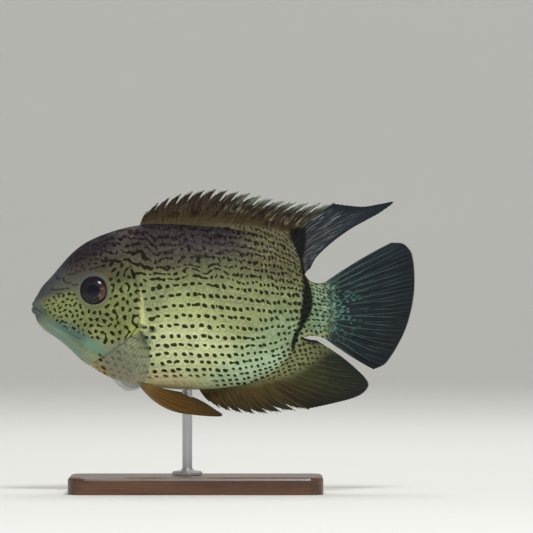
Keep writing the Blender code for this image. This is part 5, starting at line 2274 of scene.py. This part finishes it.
        web = self.with_next(spiny_dorsal, soft_dorsal)
        fin(
            "dorsal_spines", "dorsal_fin_spines", "fin_tan", web, spine,
            paint=SpinyDorsalPaint, flesh=(1.0, 3.4), flesh_reach=5.0, tip_radius=0.2, per_web=14, sunk=0.1,
        ).build(tan)
        fin(
            "dorsal_soft_rays", "dorsal_fin_soft_rays", "fin_smoke", soft_dorsal, soft,
            paint=SoftDorsalPaint, root_radius=0.4, flesh=(3.4, 2.4), flesh_reach=6.0, sunk=0.1,
        ).build(smoke)
        web = self.with_next(spiny_anal, soft_anal)
        fin(
            "anal_spines", "anal_fin_spines", "fin_amber", web, spine,
            paint=SpinyAnalPaint, spiny_edge=(0.96, 0.22), tip_radius=0.18, per_web=14, strands=8, sunk=0.14,
        ).build(amber)
        fin(
            "anal_soft_rays", "anal_fin_soft_rays", "fin_amber", soft_anal, soft,
            paint=SoftAnalPaint, root_radius=0.5, flesh=(1.6, 2.4), flesh_reach=7.0, sunk=0.1,
        ).build(amber)
        fin(
            "tail_rays", "tail_fin", "fin_smoke", self.tail_fan(), soft, paint=TailPaint,
            root_radius=0.85, tip_radius=0.16, flesh=(2.0, 2.0), flesh_reach=6.0, forks=(0.26, 0.55),
        ).build(tail)
        for side in Side:
            word = side.word
            fin(
                f"pelvic_rays_{word}", f"pelvic_fin_{word}", "fin_amber", self.pelvic_fan(side), soft,
                paint=PelvicPaint, sunk=0.08,
            ).build(rust)
            fin(
                f"pectoral_rays_{word}", f"pectoral_fin_{word}", "fin_clear", self.pectoral_fan(side), soft,
                paint=FinPaint, root_radius=0.26, tip_radius=0.08, web=0.16, flesh=(0.5, 0.5), sunk=0.06,
            ).build(clear, clear_rays)


@dataclass
class Stand:
    """The display stand, whose solids keep their shape and get their finish."""

    nodes: dict[str, bpy.types.Object]

    def dress(self) -> None:
        """Gives the base and the rod their materials."""
        finishes = (("stand_base", "base", WoodFinish("walnut")), ("stand_rod", "rod", SteelFinish("steel")))
        for node, slot, finish in finishes:
            piece = self.nodes[node]
            piece.data.materials.clear()
            piece.data.materials.append(finish.make())
            log.info("%s dressed", node)


@dataclass(frozen=True)
class Lamp:
    """A soft square light: where it hangs, its side, its power and what it points at."""

    place: tuple[float, float, float]
    size: float
    power: float
    aim: tuple[float, float, float] = (0.02, 0.0, 0.1)


@dataclass
class Studio:
    """The floor, the lights and the camera."""

    aim: tuple[float, float] = (0.0366, 0.1177)
    distance: float = 3.6
    shown_width: float = 0.2772
    floor_radius: float = 5.0
    floor_bend: float = 1.6
    wall_height: float = 3.4
    lamps: tuple[Lamp, ...] = (
        Lamp((0.35, -1.5, 1.8), 0.55, 34.0),
        Lamp((0.2, 0.9, 1.7), 1.2, 14.0),
        Lamp((0.0, 1.6, 2.6), 1.6, 22.0, (0.0, 4.6, 0.6)),
    )

    def floor(self) -> None:
        """A pale floor that curves up into a wall all round."""
        bend, flat = self.floor_bend, self.floor_radius - self.floor_bend
        turns = np.linspace(0, math.pi / 2, 13)
        curve_up = [(flat + bend * math.sin(turn), bend - bend * math.cos(turn)) for turn in turns]
        bm = lathe([(0.0, 0.0), *curve_up, (self.floor_radius, self.wall_height)], 96, closed=False)
        bmesh.ops.remove_doubles(bm, verts=bm.verts, dist=0.0001)
        bmesh.ops.recalc_face_normals(bm, faces=bm.faces)
        mesh = to_mesh(bm, "floor")
        mesh.shade_smooth()
        mesh.materials.append(FloorFinish("paper").make())
        piece = bpy.data.objects.new("floor", mesh)
        bpy.context.scene.collection.objects.link(piece)

    def light(self) -> None:
        """Soft area lights and an even pale sky."""
        for number, lamp in enumerate(self.lamps):
            box = bpy.data.lights.new(f"softbox_{number}", "AREA")
            box.size = lamp.size
            box.energy = lamp.power
            rig = bpy.data.objects.new(box.name, box)
            rig.location = lamp.place
            rig.rotation_euler = (Vector(lamp.aim) - rig.location).to_track_quat("-Z", "Y").to_euler()
            bpy.context.scene.collection.objects.link(rig)
        world = bpy.data.worlds.new("sky")
        world.use_nodes = True
        background = world.node_tree.nodes["Background"]
        background.inputs["Color"].default_value = (1.0, 0.99, 0.95, 1.0)
        background.inputs["Strength"].default_value = 0.38
        bpy.context.scene.world = world
        bpy.context.scene.view_settings.view_transform = "Standard"

    def camera(self) -> None:
        """The photo's level view of the left flank."""
        lens = bpy.data.cameras.new("camera")
        lens.sensor_width = 36.0
        lens.lens = lens.sensor_width * self.distance / self.shown_width
        lens.clip_start = 0.01
        lens.clip_end = 50.0
        rig = bpy.data.objects.new("camera", lens)
        rig.location = (self.aim[0], -self.distance, self.aim[1])
        rig.rotation_euler = (math.pi / 2, 0, 0)
        bpy.context.scene.collection.objects.link(rig)
        bpy.context.scene.camera = rig

    def build(self) -> None:
        """Sets up the whole studio."""
        self.floor()
        self.light()
        self.camera()


def main() -> None:
    """Builds the fish's looks, its stand's finish and the studio."""
    logging.basicConfig(level=logging.INFO, format="%(message)s")
    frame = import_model()
    body, rows = Body(), ScaleRows()
    livery = Livery(body, rows)
    flesh = FleshFinish("flesh").make()
    Skin(body, livery).build(flesh)
    for side in Side:
        Scales(body, livery, rows, side).build(flesh)
    eye = EyeFinish("eye").make()
    for side in Side:
        Eyes(body).build(side, eye)
    Fins(body, livery).build()
    Stand(frame["nodes"]).dress()
    Studio().build()


if __name__ == "__main__":
    main()
